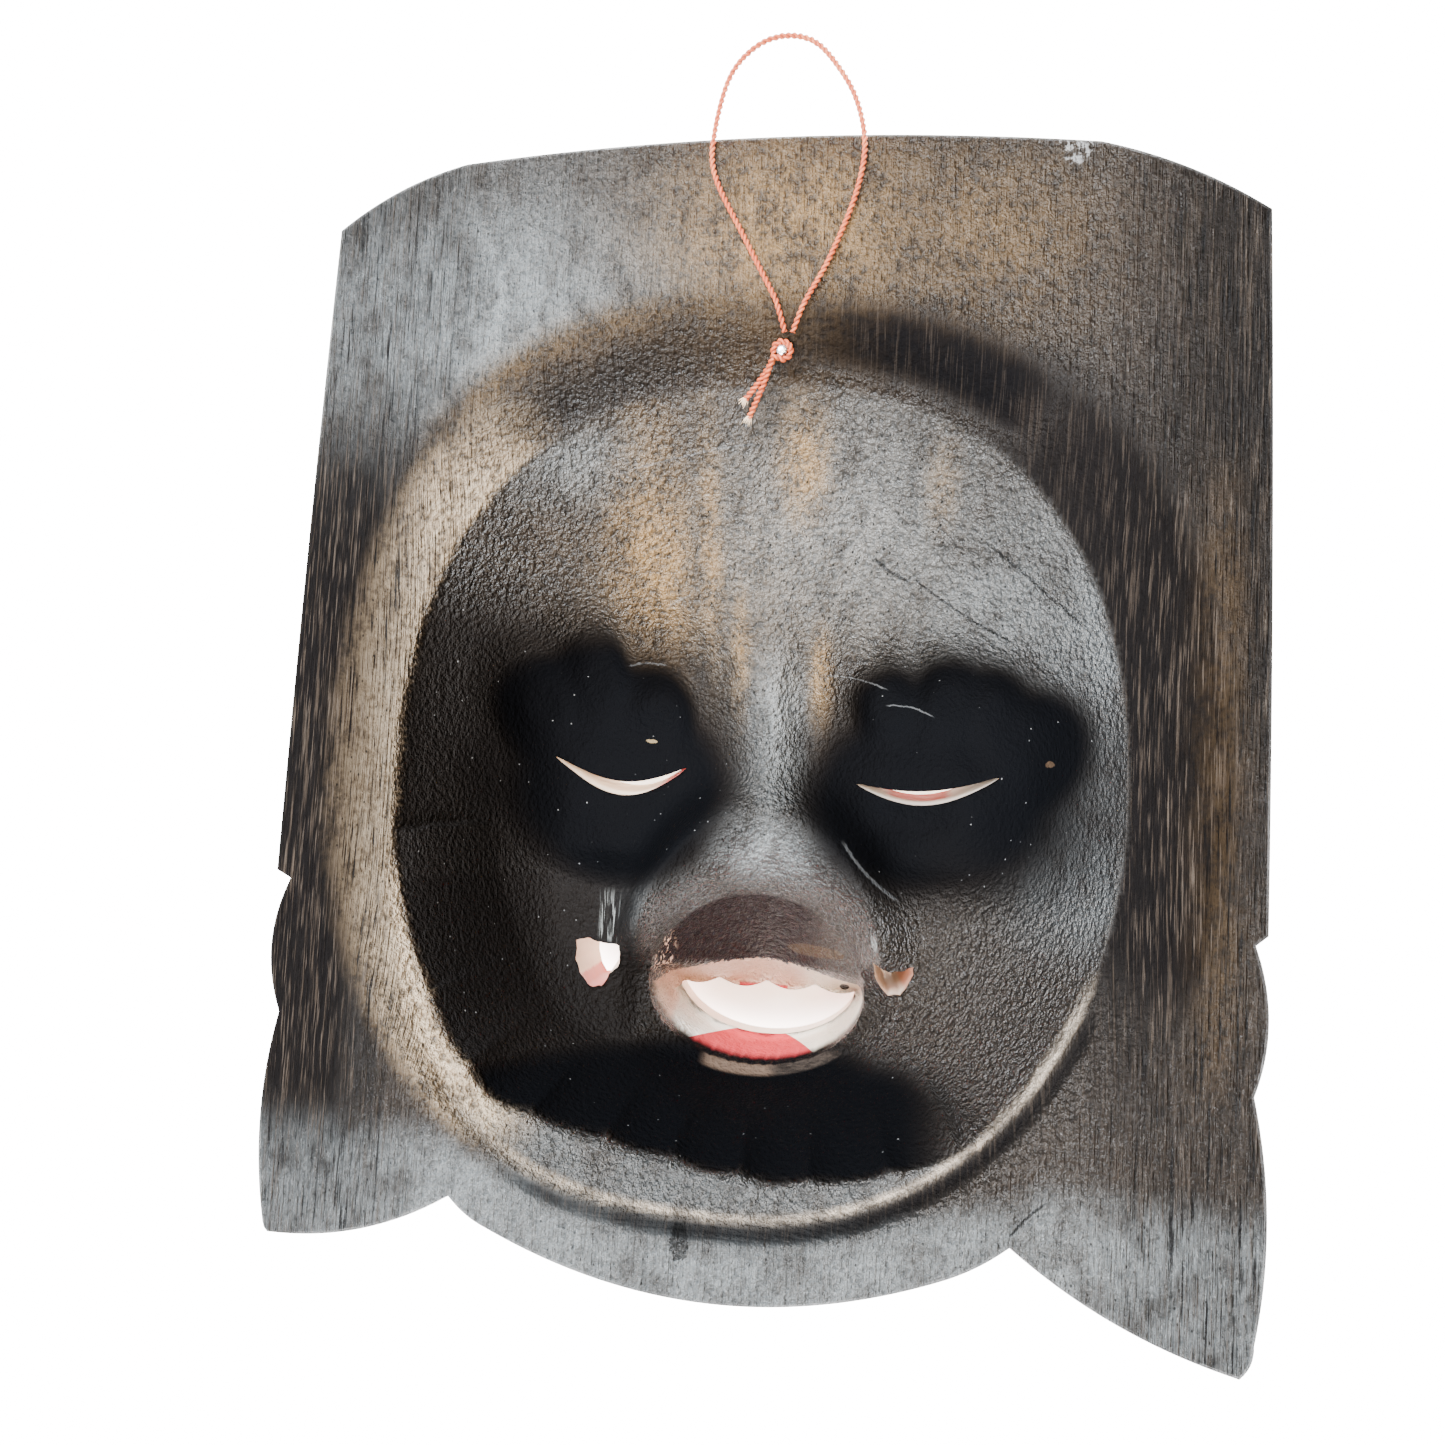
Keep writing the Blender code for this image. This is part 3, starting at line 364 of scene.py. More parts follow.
def mask_outline(step):
    # Clockwise as seen from the back, from the upper left corner along the arched top.
    # Corners are shares of the half width and half height from the middle, and each has
    # the bulge of the side after it as a share of that side's length.
    corners = (
        (-0.967, 0.852, 0.057), (-0.682, 0.972, 0.0265), (0.652, 0.969, 0.046),
        (0.976, 0.842, 0.003), (0.994, -0.331, 0.0), (0.972, -0.347, 0.088),
        (0.974, -0.578, 0.05), (0.982, -0.948, 0.12), (0.956, -1.0, 0.0565),
        (0.545, -0.845, 0.041), (0.419, -0.909, 0.103), (-0.483, -0.909, 0.06),
        (-0.568, -0.863, 0.075), (-0.957, -0.958, 0.115), (-0.971, -0.940, 0.056),
        (-0.971, -0.578, 0.109), (-0.968, -0.344, 0.0), (-1.0, -0.331, 0.0025),
    )
    size = np.array((MASK_WIDTH / 2, MASK_HEIGHT / 2))
    middle = np.array((MASK_X, MASK_Y))
    places = [middle + np.array(corner[:2]) * size for corner in corners]
    points = []
    for i, corner in enumerate(corners):
        points += arc(places[i], places[(i + 1) % len(corners)], corner[2], step)
    return np.array(points)[::-1]


def mouth_hole(count):
    # Scalloped edge of the upper teeth above, foot of the bore's lower wall below.
    half = 0.9 * MOUTH_HALF_WIDTH
    points = []
    for i in range(count):
        x = mix(half, -half, i / count)
        tooth = abs(math.sin(math.pi * (x - MOUTH_X + TOOTH_WIDTH) / TOOTH_WIDTH))
        points.append((MOUTH_X + x, MOUTH_Y - TEETH_BELOW_MOUTH - TOOTH_CURVE * tooth ** 0.8))
    for i in range(count):
        x = mix(-half, half, i / count)
        low = MOUTH_DOWN * math.sqrt(0.885 - (x / MOUTH_HALF_WIDTH) ** 2)
        points.append((MOUTH_X + x, MOUTH_Y - max(low, TEETH_BELOW_MOUTH + TOOTH_CURVE + 0.6)))
    return np.array(points)


def eye_slit(eye, left_fall, right_fall, drop, count):
    # Thin crescent along the lower edge of the eyeball.
    points = []
    for i in range(count + 1):
        t = i / count
        points.append((eye[0] + SLIT_HALF_WIDTH * (2.0 * t - 1.0),
                       eye[1] - mix(left_fall, right_fall, t)
                       - (drop + 2.2) * math.sin(math.pi * t) ** 0.9))
    for i in range(1, count):
        t = 1.0 - i / count
        points.append((eye[0] + SLIT_HALF_WIDTH * (2.0 * t - 1.0),
                       eye[1] - mix(left_fall, right_fall, t) + 0.3
                       - (drop - 0.9) * math.sin(math.pi * t) ** 0.9))
    return np.array(points)


def tusk_gap(corners):
    # Ragged opening between tusk and cheek, its corners given from the middle of the mouth.
    return np.array(corners) + (MOUTH_X, MOUTH_Y)


def through_cuts(slit_count):
    # Openings at the back and, as pairs of the same length, where they reach the face:
    # the slits slant up under the eyeballs, and the tusk gaps narrow from the right.
    slits = [eye_slit(EYE_LEFT, 8.4, 9.6, 6.0, slit_count),
             eye_slit(EYE_RIGHT, 11.6, 8.6, 3.6, slit_count)]
    tusks = [
        tusk_gap(((-43.6, 9.2), (-43.4, 4.4), (-41.8, 1.0), (-39.4, -1.4), (-36.6, -1.4),
                  (-34.8, 1.6), (-32.2, 4.6), (-32.0, 9.2), (-36.6, 8.8), (-40.2, 9.8))),
        tusk_gap(((27.7, 9.7), (28.4, 6.2), (30.2, 2.8), (31.6, 1.8), (34.4, 2.4),
                  (36.6, 5.6), (37.4, 9.4), (34.4, 8.0), (31.4, 8.0))),
    ]
    cuts = []
    for slit in slits:
        cuts.append((slit, slit + (0.0, SLIT_SLANT)))
    for tusk in tusks:
        left = tusk[:, 0].min()
        narrow = tusk.copy()
        narrow[:, 0] = left + 0.4 + (narrow[:, 0] - left) * TUSK_NARROWING
        cuts.append((tusk, narrow))
    return [(counter_clockwise(back), counter_clockwise(face)) for back, face in cuts]


def inset(loop, amount):
    # Loop runs counter-clockwise, a positive amount moves it inward.
    before = np.roll(loop, 1, axis=0)
    after = np.roll(loop, -1, axis=0)
    d1 = loop - before
    d2 = after - loop
    d1 = d1 / np.hypot(d1[:, 0], d1[:, 1])[:, None]
    d2 = d2 / np.hypot(d2[:, 0], d2[:, 1])[:, None]
    n = np.stack((-(d1 + d2)[:, 1], (d1 + d2)[:, 0]), axis=1)
    n = n / np.maximum(np.hypot(n[:, 0], n[:, 1]), 1e-6)[:, None]
    return loop + n * amount


def counter_clockwise(loop):
    nxt = np.roll(loop, -1, axis=0)
    area = np.sum(loop[:, 0] * nxt[:, 1] - nxt[:, 0] * loop[:, 1])
    return loop if area > 0 else loop[::-1]


def route_points(keys, count):
    # Smooth even route through the key points.
    keys = np.array(keys, dtype=float)
    dense = []
    for i in range(len(keys) - 1):
        p0 = keys[max(i - 1, 0)]
        p1, p2 = keys[i], keys[i + 1]
        p3 = keys[min(i + 2, len(keys) - 1)]
        for k in range(24):
            t = k / 24
            dense.append(0.5 * (2 * p1 + (p2 - p0) * t + (2 * p0 - 5 * p1 + 4 * p2 - p3) * t * t
                                + (3 * p1 - p0 - 3 * p2 + p3) * t ** 3))
    dense.append(keys[-1])
    dense = np.array(dense)
    run = np.concatenate(([0.0], np.cumsum(np.linalg.norm(np.diff(dense, axis=0), axis=1))))
    even = np.linspace(0.0, run[-1], count)
    return np.stack([np.interp(even, run, dense[:, k]) for k in range(3)], axis=1)


def loop_route():
    # Up from the knot over the edge of the bevel, round in a loop past the top edge and back.
    x, y = NAIL_X, NAIL_Y
    keys = (
        (x + 0.55, y + 3.2, -1.1), (x - 0.5, y + 6.5, 0.8), (x - 1.6, y + 9.5, 1.05),
        (-4.3, 122.5, 0.95), (-11.0, 135.6, 0.95), (-11.8, 144.3, 0.9), (-9.3, 157.2, 0.5),
        (-4.3, 163.9, 0.2), (1.8, 166.2, 0.1), (8.2, 164.5, 0.2), (13.6, 158.2, 0.5),
        (17.6, 150.5, 0.8), (19.5, 140.8, 0.9), (17.9, 130.3, 0.95), (13.4, 117.8, 0.95),
        (x + 5.1, y + 9.5, 1.05), (x + 3.7, y + 6.5, 0.8), (x + 2.15, y + 3.1, -1.1),
    )
    return route_points(keys, 68)


def knot_route():
    # One free end, a full turn round the nail, and the other free end.
    x, y = NAIL_X, NAIL_Y
    base = -float(back_depth(x, y))
    keys = [(x - 8.0, y - 7.7, base - 4.2), (x - 5.1, y - 4.9, base - 2.0)]
    tilt = math.radians(20.0)
    for i in range(13):
        a = math.radians(215.0 - 30.0 * i)
        rise = base + 1.75 + 1.25 * i / 12
        dx, dy = KNOT_RADIUS * math.cos(a), KNOT_RADIUS * math.sin(a)
        keys.append((x + dx, y + dy * math.cos(tilt), rise + dy * math.sin(tilt)))
    keys += [(x - 4.0, y - 5.9, base - 1.0), (x - 7.2, y - 11.4, base - 5.0)]
    return route_points(keys, 26)


# The mask's own frame sits at this place in the part's frame.
PLAN = mask_outline(7.0)
SHIFT = np.array((-(PLAN[:, 0].min() + PLAN[:, 0].max()) / 2,
                  -(PLAN[:, 1].min() + PLAN[:, 1].max()) / 2, TOTAL_DEPTH))

# Ridges between the gouge cuts at the chin, in degrees from straight down, and how far they reach in
CHIN_RIDGES = (-54.0, -42.0, -30.5, -19.0, -8.5, 2.1, 12.4, 23.8, 36.1, 48.0)
CHIN_REACH = 3.4

# Material regions of the carving
BORDER, FACE, CUTS, HOLLOW, MOUTH = range(5)

# Mesh spacing
FINE_STEP, WIDE_STEP, FACE_STEP, OUTLINE_STEP = 0.86, 1.8, 1.2, 1.2


def place(x, y, z):
    return Vector(((x + SHIFT[0]) * MM, (y + SHIFT[1]) * MM, (z + SHIFT[2]) * MM))


def value_noise(x, y, size, seed):
    # Smooth random field between -1 and 1 with the given cell size in millimetres.
    u = x / size
    v = y / size
    i = np.floor(u)
    j = np.floor(v)
    fu = u - i
    fv = v - j
    fu = fu * fu * (3 - 2 * fu)
    fv = fv * fv * (3 - 2 * fv)

    def corner(a, b):
        s = np.sin(a * 127.1 + b * 311.7 + seed * 74.7) * 43758.5453
        return 2.0 * (s - np.floor(s)) - 1.0

    low = corner(i, j) * (1 - fu) + corner(i + 1, j) * fu
    high = corner(i, j + 1) * (1 - fu) + corner(i + 1, j + 1) * fu
    return low * (1 - fv) + high * fv


def facets(x, y, step_x, step_y, tilt, seed):
    # Soft flats left by a chisel: each cell of a loose grid has its own slope.
    total = np.zeros_like(x)
    weight = np.zeros_like(x)
    for i in range(int(-110 / step_x), int(110 / step_x) + 1):
        for j in range(int(-100 / step_y), int(150 / step_y) + 1):
            a, b, c, d = (math.sin((i * 12.9898 + j * 78.233 + seed + k) * 43.7585) for k in range(4))
            cx = (i + 0.35 * a + 0.5 * (j % 2)) * step_x
            cy = (j + 0.3 * b) * step_y
            r2 = ((x - cx) / step_x) ** 2 + ((y - cy) / step_y) ** 2
            near = r2 < 4.0
            w = np.where(near, np.exp(-r2 * 5.0), 0.0)
            total += w * (tilt * (c * (x - cx) + d * (y - cy)) + 0.25 * tilt * step_x * a)
            weight += w
    return total / (weight + 1e-9)


def chin_turn(x, y):
    # Turn round the hollow's middle in degrees from straight down.
    return np.degrees(np.arctan2(x - HOLLOW_X, -(y - HOLLOW_Y)))


def inward_run(x, y):
    # Distance from the hollow's rim toward its middle, negative outside.
    inner = rim_inner(x, y)
    dx, dy = x - HOLLOW_X, y - HOLLOW_Y
    r = np.sqrt(dx * dx + dy * dy) + 1e-6
    return r / inner - r


def chin_wave(x, y):
    # How far the rim comes in at the ridges between the gouge cuts at the chin.
    turn = chin_turn(x, y)
    wave = np.zeros_like(x)
    for a, b in zip(CHIN_RIDGES, CHIN_RIDGES[1:]):
        t = np.clip((turn - a) / (b - a), 0.0, 1.0)
        there = (turn >= a) & (turn < b)
        wave = np.where(there, CHIN_REACH * (1.0 - np.sin(math.pi * t) ** 0.6), wave)
    return wave * smooth(-60.0, -44.0, turn) * fade(40.0, 50.0, turn)


def chin_band(x, y):
    # Width of the gentle band inside the rim at the chin.
    return np.interp(chin_turn(x, y), CHIN_BAND_TURN, CHIN_BAND_WIDTH)


def flutes(x, y):
    # Shallow concave cuts that fan out over the forehead from the bridge of the nose.
    ang = np.arctan2(x - 1.0, y + 22.0) + 0.012 * np.sin(y / 9.0)
    hollow_cut = 1.0 - np.abs(np.sin(ang * 15.0 + 0.7)) ** 1.4
    far = smooth(38.0, 58.0, y) * fade(84.0, 92.0, y)
    return far * hollow_cut


def fine_back(x, y):
    # Carved hollow with tool marks, scalloped gouge ends at the chin and soft wear.
    depth = back_depth(x, y)
    inner, outer = rim_inner(x, y), rim_outer(x, y)
    rest = np.maximum(1.0 - outer, 0.0)
    s = rest / (rest + np.maximum(inner - 1.0, 0.0) + 1e-6)
    depth = np.where(inner > 1.0, depth * (0.35 + 0.65 * s * (3.0 - 2.0 * s)), depth)
    inward = inward_run(x, y)
    within = smooth(0.0, 6.0, inward)
    m = mouth_radius(x, y)
    open_floor = within * smooth(1.0, 1.25, m)
    forehead = open_floor * smooth(28.0, 48.0, y)
    depth = depth + forehead * (facets(x, y, 19.0, 24.0, 0.055, 3.0) - 0.5 * flutes(x, y))
    depth = depth + open_floor * (1.0 - forehead) * facets(x, y, 13.0, 13.0, 0.045, 9.0)
    wave = chin_wave(x, y)
    past = inward - chin_band(x, y)
    ridge = 2.0 * wave * smooth(-1.5, 1.5, past) * fade(1.5, 11.0, past)
    depth = np.where(inward > 0.0, np.maximum(depth - ridge, np.minimum(depth, 3.0)), depth)
    # Shiny bump low on the right wall, and the rough roll under each eye
    depth = depth - 1.6 * hump(x, y, 50.0, -28.0, 11.0, 13.0) * open_floor
    for ex, ey, sx in ((-28.0, 12.0, 5.5), (29.0, 4.5, 5.0), (38.0, 3.5, 7.0)):
        depth = depth - 1.3 * hump(x, y, ex, ey, sx, 4.0)
    # Eyeball bulges above the slits
    depth = depth - 1.6 * hump(x, y, -32.0, 21.0, 13.0, 6.0) - 1.4 * hump(x, y, 39.0, 20.0, 14.0, 6.0)
    depth = depth + 0.16 * value_noise(x, y, 5.0, 1.0) * within
    return depth + 0.07 * value_noise(x, y, 9.0, 4.0) * (1.0 - within)


def fine_front(x, y):
    # Crown leaves, beads on the diadem, petals on the crest, fur on the collar and curls.
    depth = raised_face(x, y)
    ang = np.arctan2(x - FACE_X, y - 20.0)
    crest = crest_radius(x, y)
    crown = smooth(CROWN_START, CROWN_START + 8.0, y) * fade(136.0, 143.0, y)
    crown = crown * smooth(1.0, 1.12, crest)
    veins = 1.6 * np.abs(np.sin(ang * 18.0)) + 0.8 * np.sin(y * 0.9) * np.cos(ang * 36.0)
    depth = depth + crown * veins
    depth = depth + diadem_band(x, y) * 1.6 * np.abs(np.sin(ang * 24.0))
    petal = np.abs(np.cos(np.arctan2(x - CREST_X, y - CREST_Y) * 6.0))
    for level in CREST_LEVELS[1:]:
        rib = np.exp(-((crest - level + 0.09) / 0.05) ** 2)
        depth = depth + 1.2 * petal * rib
    # Strands of fur run outward across the collar
    face = face_radius(x, y)
    turn = np.arctan2(x - FACE_X, -(y - FACE_Y))
    strand = np.abs(np.sin(turn * 34.0 + 1.2 * np.sin(turn * 9.0)))
    collar = np.exp(-((face - COLLAR_RADIUS) / 0.07) ** 2) * fade(66.0, 82.0, y)
    depth = depth + 1.5 * collar * strand
    # Spiral grooves on the curls at the cheeks and the lower corners
    for side in (-1.0, 1.0):
        cx = side * 0.43 * MASK_WIDTH + FACE_X
        for ox, oy, reach in ((side * 3.0, -27.0, 11.0), (-side * 5.0, -68.0, 13.0)):
            px, py = x - cx - ox, y - oy
            rad = np.sqrt(px * px + py * py)
            curl = np.sin(rad * 1.15 + side * np.arctan2(py, px))
            depth = depth + 0.9 * curl * fade(0.75 * reach, reach, rad)
    teeth = smooth(-41.0, -39.5, y) * fade(-36.0, -34.5, y)
    teeth = teeth * fade(20.0, 24.0, np.abs(x))
    depth = depth - teeth * 1.3 * np.abs(np.cos(math.pi * (x - MOUTH_X) / TOOTH_WIDTH)) ** 10
    # Brows of short hairs over the eyes
    for ex, ey in (EYE_LEFT, EYE_RIGHT):
        er = np.sqrt((x - ex) ** 2 + (y - ey) ** 2)
        hair = np.abs(np.sin(np.arctan2(x - ex, y - ey) * 17.0 + er * 0.25))
        depth = depth + 1.1 * brow_arch(x, y, ex, ey, 4.6, -2.0, 12.0) * hair
    depth = softmax(depth, back_depth(x, y) + MIN_WALL, 2.0)
    return np.minimum(depth, TOTAL_DEPTH)


def hex_points(step, low, high):
    rows = int((high[1] - low[1]) / (step * 0.866)) + 1
    cols = int((high[0] - low[0]) / step) + 1
    j, i = np.meshgrid(np.arange(rows), np.arange(cols), indexing="ij")
    x = low[0] + (i + 0.5 * (j % 2)) * step
    y = low[1] + j * step * 0.866
    return np.stack((x.ravel(), y.ravel()), axis=1)


def fast_inside(points, loop):
    hit = np.zeros(len(points), dtype=bool)
    x, y = points[:, 0], points[:, 1]
    nxt = np.roll(loop, -1, axis=0)
    for (ax, ay), (bx, by) in zip(loop, nxt):
        if ay == by:
            continue
        cross = (ay > y) != (by > y)
        hit ^= cross & (x < (bx - ax) * (y - ay) / (by - ay) + ax)
    return hit


def near_line(points, line, limit):
    # True where a point is closer than the limit to one of the line's points.
    keys = set()
    for px, py in line:
        keys.add((round(px / limit), round(py / limit)))
    near = np.zeros(len(points), dtype=bool)
    cells = np.round(points / limit).astype(int)
    for k, (cx, cy) in enumerate(cells):
        if any((cx + a, cy + b) in keys for a in (-1, 0, 1) for b in (-1, 0, 1)):
            d = line - points[k]
            near[k] = float((d * d).sum(axis=1).min()) < limit * limit
    return near


def mesh_sheet(outer, holes, creases, grid):
    keep = fast_inside(grid, outer)
    for loop in holes:
        keep &= ~fast_inside(grid, loop)
    grid = grid[keep]
    borders = np.vstack([outer] + holes + creases)
    grid = grid[~near_line(grid, borders, 0.6)]
    points = []
    edges = []
    for loop in [outer] + holes + creases:
        start = len(points)
        points += [tuple(p) for p in loop]
        edges += [(start + i, start + (i + 1) % len(loop)) for i in range(len(loop))]
    border = sum(len(loop) for loop in [outer] + holes)
    points += [tuple(p) for p in grid]
    out = delaunay_2d_cdt([Vector(p) for p in points], edges, [], 0, 1e-6)
    flat = np.array([tuple(p) for p in out[0]])
    tris = np.array([tuple(f) for f in out[2]])
    centre = flat[tris].mean(axis=1)
    good = fast_inside(centre, outer)
    for loop in holes:
        good &= ~fast_inside(centre, loop)
    tris = tris[good]
    a, b, c = flat[tris[:, 0]], flat[tris[:, 1]], flat[tris[:, 2]]
    turn = (b[:, 0] - a[:, 0]) * (c[:, 1] - a[:, 1]) - (b[:, 1] - a[:, 1]) * (c[:, 0] - a[:, 0])
    tris[turn < 0] = tris[turn < 0][:, ::-1]
    index = {}
    for new, olds in enumerate(out[3]):
        for old in olds:
            index[old] = new
    return flat, tris, np.array([index[i] for i in range(border)])


def ring_at(radius, cx, cy, level, count):
    out = []
    for i in range(count):
        a = 2 * math.pi * i / count
        ux, uy = math.cos(a), math.sin(a)
        reach = level / float(radius(np.array(cx + ux), np.array(cy + uy)))
        out.append((cx + ux * reach, cy + uy * reach))
    return np.array(out)


def even_pair(back, face, step):
    # Both edges of an opening with as many points, evenly spaced along the back one.
    ring = np.vstack((back, back[:1]))
    other = np.vstack((face, face[:1]))
    run = np.concatenate(([0.0], np.cumsum(np.hypot(*np.diff(ring, axis=0).T))))
    s = np.linspace(0.0, run[-1], max(8, int(run[-1] / step)), endpoint=False)
    pair = []
    for line in (ring, other):
        pair.append(np.stack((np.interp(s, run, line[:, 0]), np.interp(s, run, line[:, 1])), axis=1))
    return pair


def fine_cuts():
    # The part's openings with finer edges, the two at the tusks chipped by the knife.
    mouth = counter_clockwise(mouth_hole(44))
    pairs = [even_pair(mouth, mouth, 0.9)]
    for number, (back, face) in enumerate(through_cuts(26)):
        back, face = even_pair(back, face, 0.7)
        if number > 1:
            ragged = 0.28 * value_noise(back[:, 0], back[:, 1], 1.1, 5.0)
            back = inset(back, ragged[:, None])
        pairs.append((back, face))
    return pairs


def build_mask():
    outer = counter_clockwise(mask_outline(OUTLINE_STEP))
    cuts = fine_cuts()
    top = inset(outer, 0.8)
    low = inset(outer, EDGE_CHAMFER)
    fine = hex_points(FINE_STEP, (-92, -84), (94, 110))
    fine = fine[rim_outer(fine[:, 0], fine[:, 1]) < 1.03]
    wide = hex_points(WIDE_STEP, (-101, -96), (103, 150))
    wide = wide[rim_outer(wide[:, 0], wide[:, 1]) >= 1.03]
    face_grid = hex_points(FACE_STEP, (-101, -96), (103, 150))
    back_rings = [ring_at(rim_inner, HOLLOW_X, HOLLOW_Y, 1.0, 360),
                  ring_at(mouth_radius, MOUTH_X, MOUTH_Y, 1.0, 130),
                  ring_at(mouth_radius, MOUTH_X, MOUTH_Y, 0.965, 130)]
    front_rings = [ring_at(face_radius, FACE_X, FACE_Y, 1.0, 300)]
    back_xy, back_tris, back_loop = mesh_sheet(top, [back for back, face in cuts], back_rings,
                                               np.vstack((fine, wide)))
    front_xy, front_tris, front_loop = mesh_sheet(low, [face for back, face in cuts], front_rings,
                                                  face_grid)
    back_z = -fine_back(back_xy[:, 0], back_xy[:, 1])
    front_z = -fine_front(front_xy[:, 0], front_xy[:, 1])

    verts = [np.column_stack((back_xy, back_z)), np.column_stack((front_xy, front_z))]
    count = len(back_xy) + len(front_xy)
    faces = [back_tris, front_tris[:, ::-1] + len(back_xy)]
    middle = back_xy[back_tris].mean(axis=1)
    back_slots = np.where(rim_inner(middle[:, 0], middle[:, 1]) < 0.97, HOLLOW, BORDER)
    near_mouth = mouth_radius(middle[:, 0], middle[:, 1]) < 1.22
    slots = [np.where(near_mouth, MOUTH, back_slots), np.full(len(front_tris), FACE)]
    start = 0
    for number, (loop, end) in enumerate([(outer, outer)] + cuts):
        n = len(loop)
        upper = back_loop[start:start + n]
        lower = front_loop[start:start + n] + len(back_xy)
        z_up = back_z[back_loop[start:start + n]]
        z_low = front_z[front_loop[start:start + n]]
        rings = [upper]
        if number == 0:
            edge = [(inset(loop, 0.25), np.full(n, -0.12))]
            edge += [(loop, np.full(n, z)) for z in (-0.75, -4.5, -8.5)]
            edge += [(loop, z_low + 2.4), (inset(loop, 0.45), z_low + 0.8)]
        else:
            edge = [(mix(loop, end, t), mix(z_up, z_low, t)) for t in (0.04, 0.2, 0.4, 0.6, 0.8)]
        for line, z in edge:
            verts.append(np.column_stack((line, z)))
            rings.append(np.arange(count, count + n))
            count += n
        rings.append(lower)
        for k, (a, b) in enumerate(zip(rings, rings[1:])):
            a2, b2 = np.roll(a, -1), np.roll(b, -1)
            faces.append(np.column_stack((a, b, b2)))
            faces.append(np.column_stack((a, b2, a2)))
            material = (BORDER if k < 5 else FACE) if number == 0 else CUTS
            slots.append(np.full(2 * n, material))
        start += n
    verts = np.vstack(verts)
    faces = np.vstack(faces)
    slots = np.concatenate(slots)
    ob = new_object("mask_carving", ((verts + SHIFT) * MM).tolist(), faces.tolist())
    ob.data.polygons.foreach_set("material_index", slots.astype(np.int32))
    add_zones(ob.data, verts)
    return ob


def bell(v, centre, width):
    return np.exp(-((v - centre) / width) ** 2)


def window(v, low, high, soft):
    return smooth(low - soft, low + soft, v) * fade(high - soft, high + soft, v)


def blots(x, y, rows):
    # The strongest of several soft ovals, each with its strength, centre and half sizes.
    return np.maximum.reduce([share * hump(x, y, *spread) for share, *spread in rows])


# Soft ovals of painted sheen, the first two tables warm and the last blue-grey: strength, centre and half
# sizes
WARM_SHEEN_HOLLOW = (
    (0.22, -6.0, 60.0, 40.0, 34.0), (0.95, -25.0, 60.0, 9.5, 24.0), (0.75, -12.5, 64.0, 3.5, 24.0),
    (0.7, -5.5, 42.0, 2.6, 16.0), (0.9, 8.5, 80.0, 6.0, 12.0), (0.95, 13.0, 35.0, 2.8, 12.0),
    (0.35, 38.0, 75.0, 4.0, 9.0),
)
WARM_SHEEN_FLAT = ((0.75, 4.0, 124.0, 26.0, 20.0), (0.3, 42.0, 122.0, 22.0, 18.0))
COOL_SHEEN_HOLLOW = (
    (0.75, 14.0, 66.0, 34.0, 24.0), (0.55, 48.0, 50.0, 22.0, 26.0), (1.0, 3.5, 26.0, 8.5, 20.0),
    (1.0, 1.0, -4.0, 19.0, 8.0), (0.4, -22.0, 8.0, 7.0, 9.0), (0.6, -21.0, -14.0, 11.0, 10.0),
)


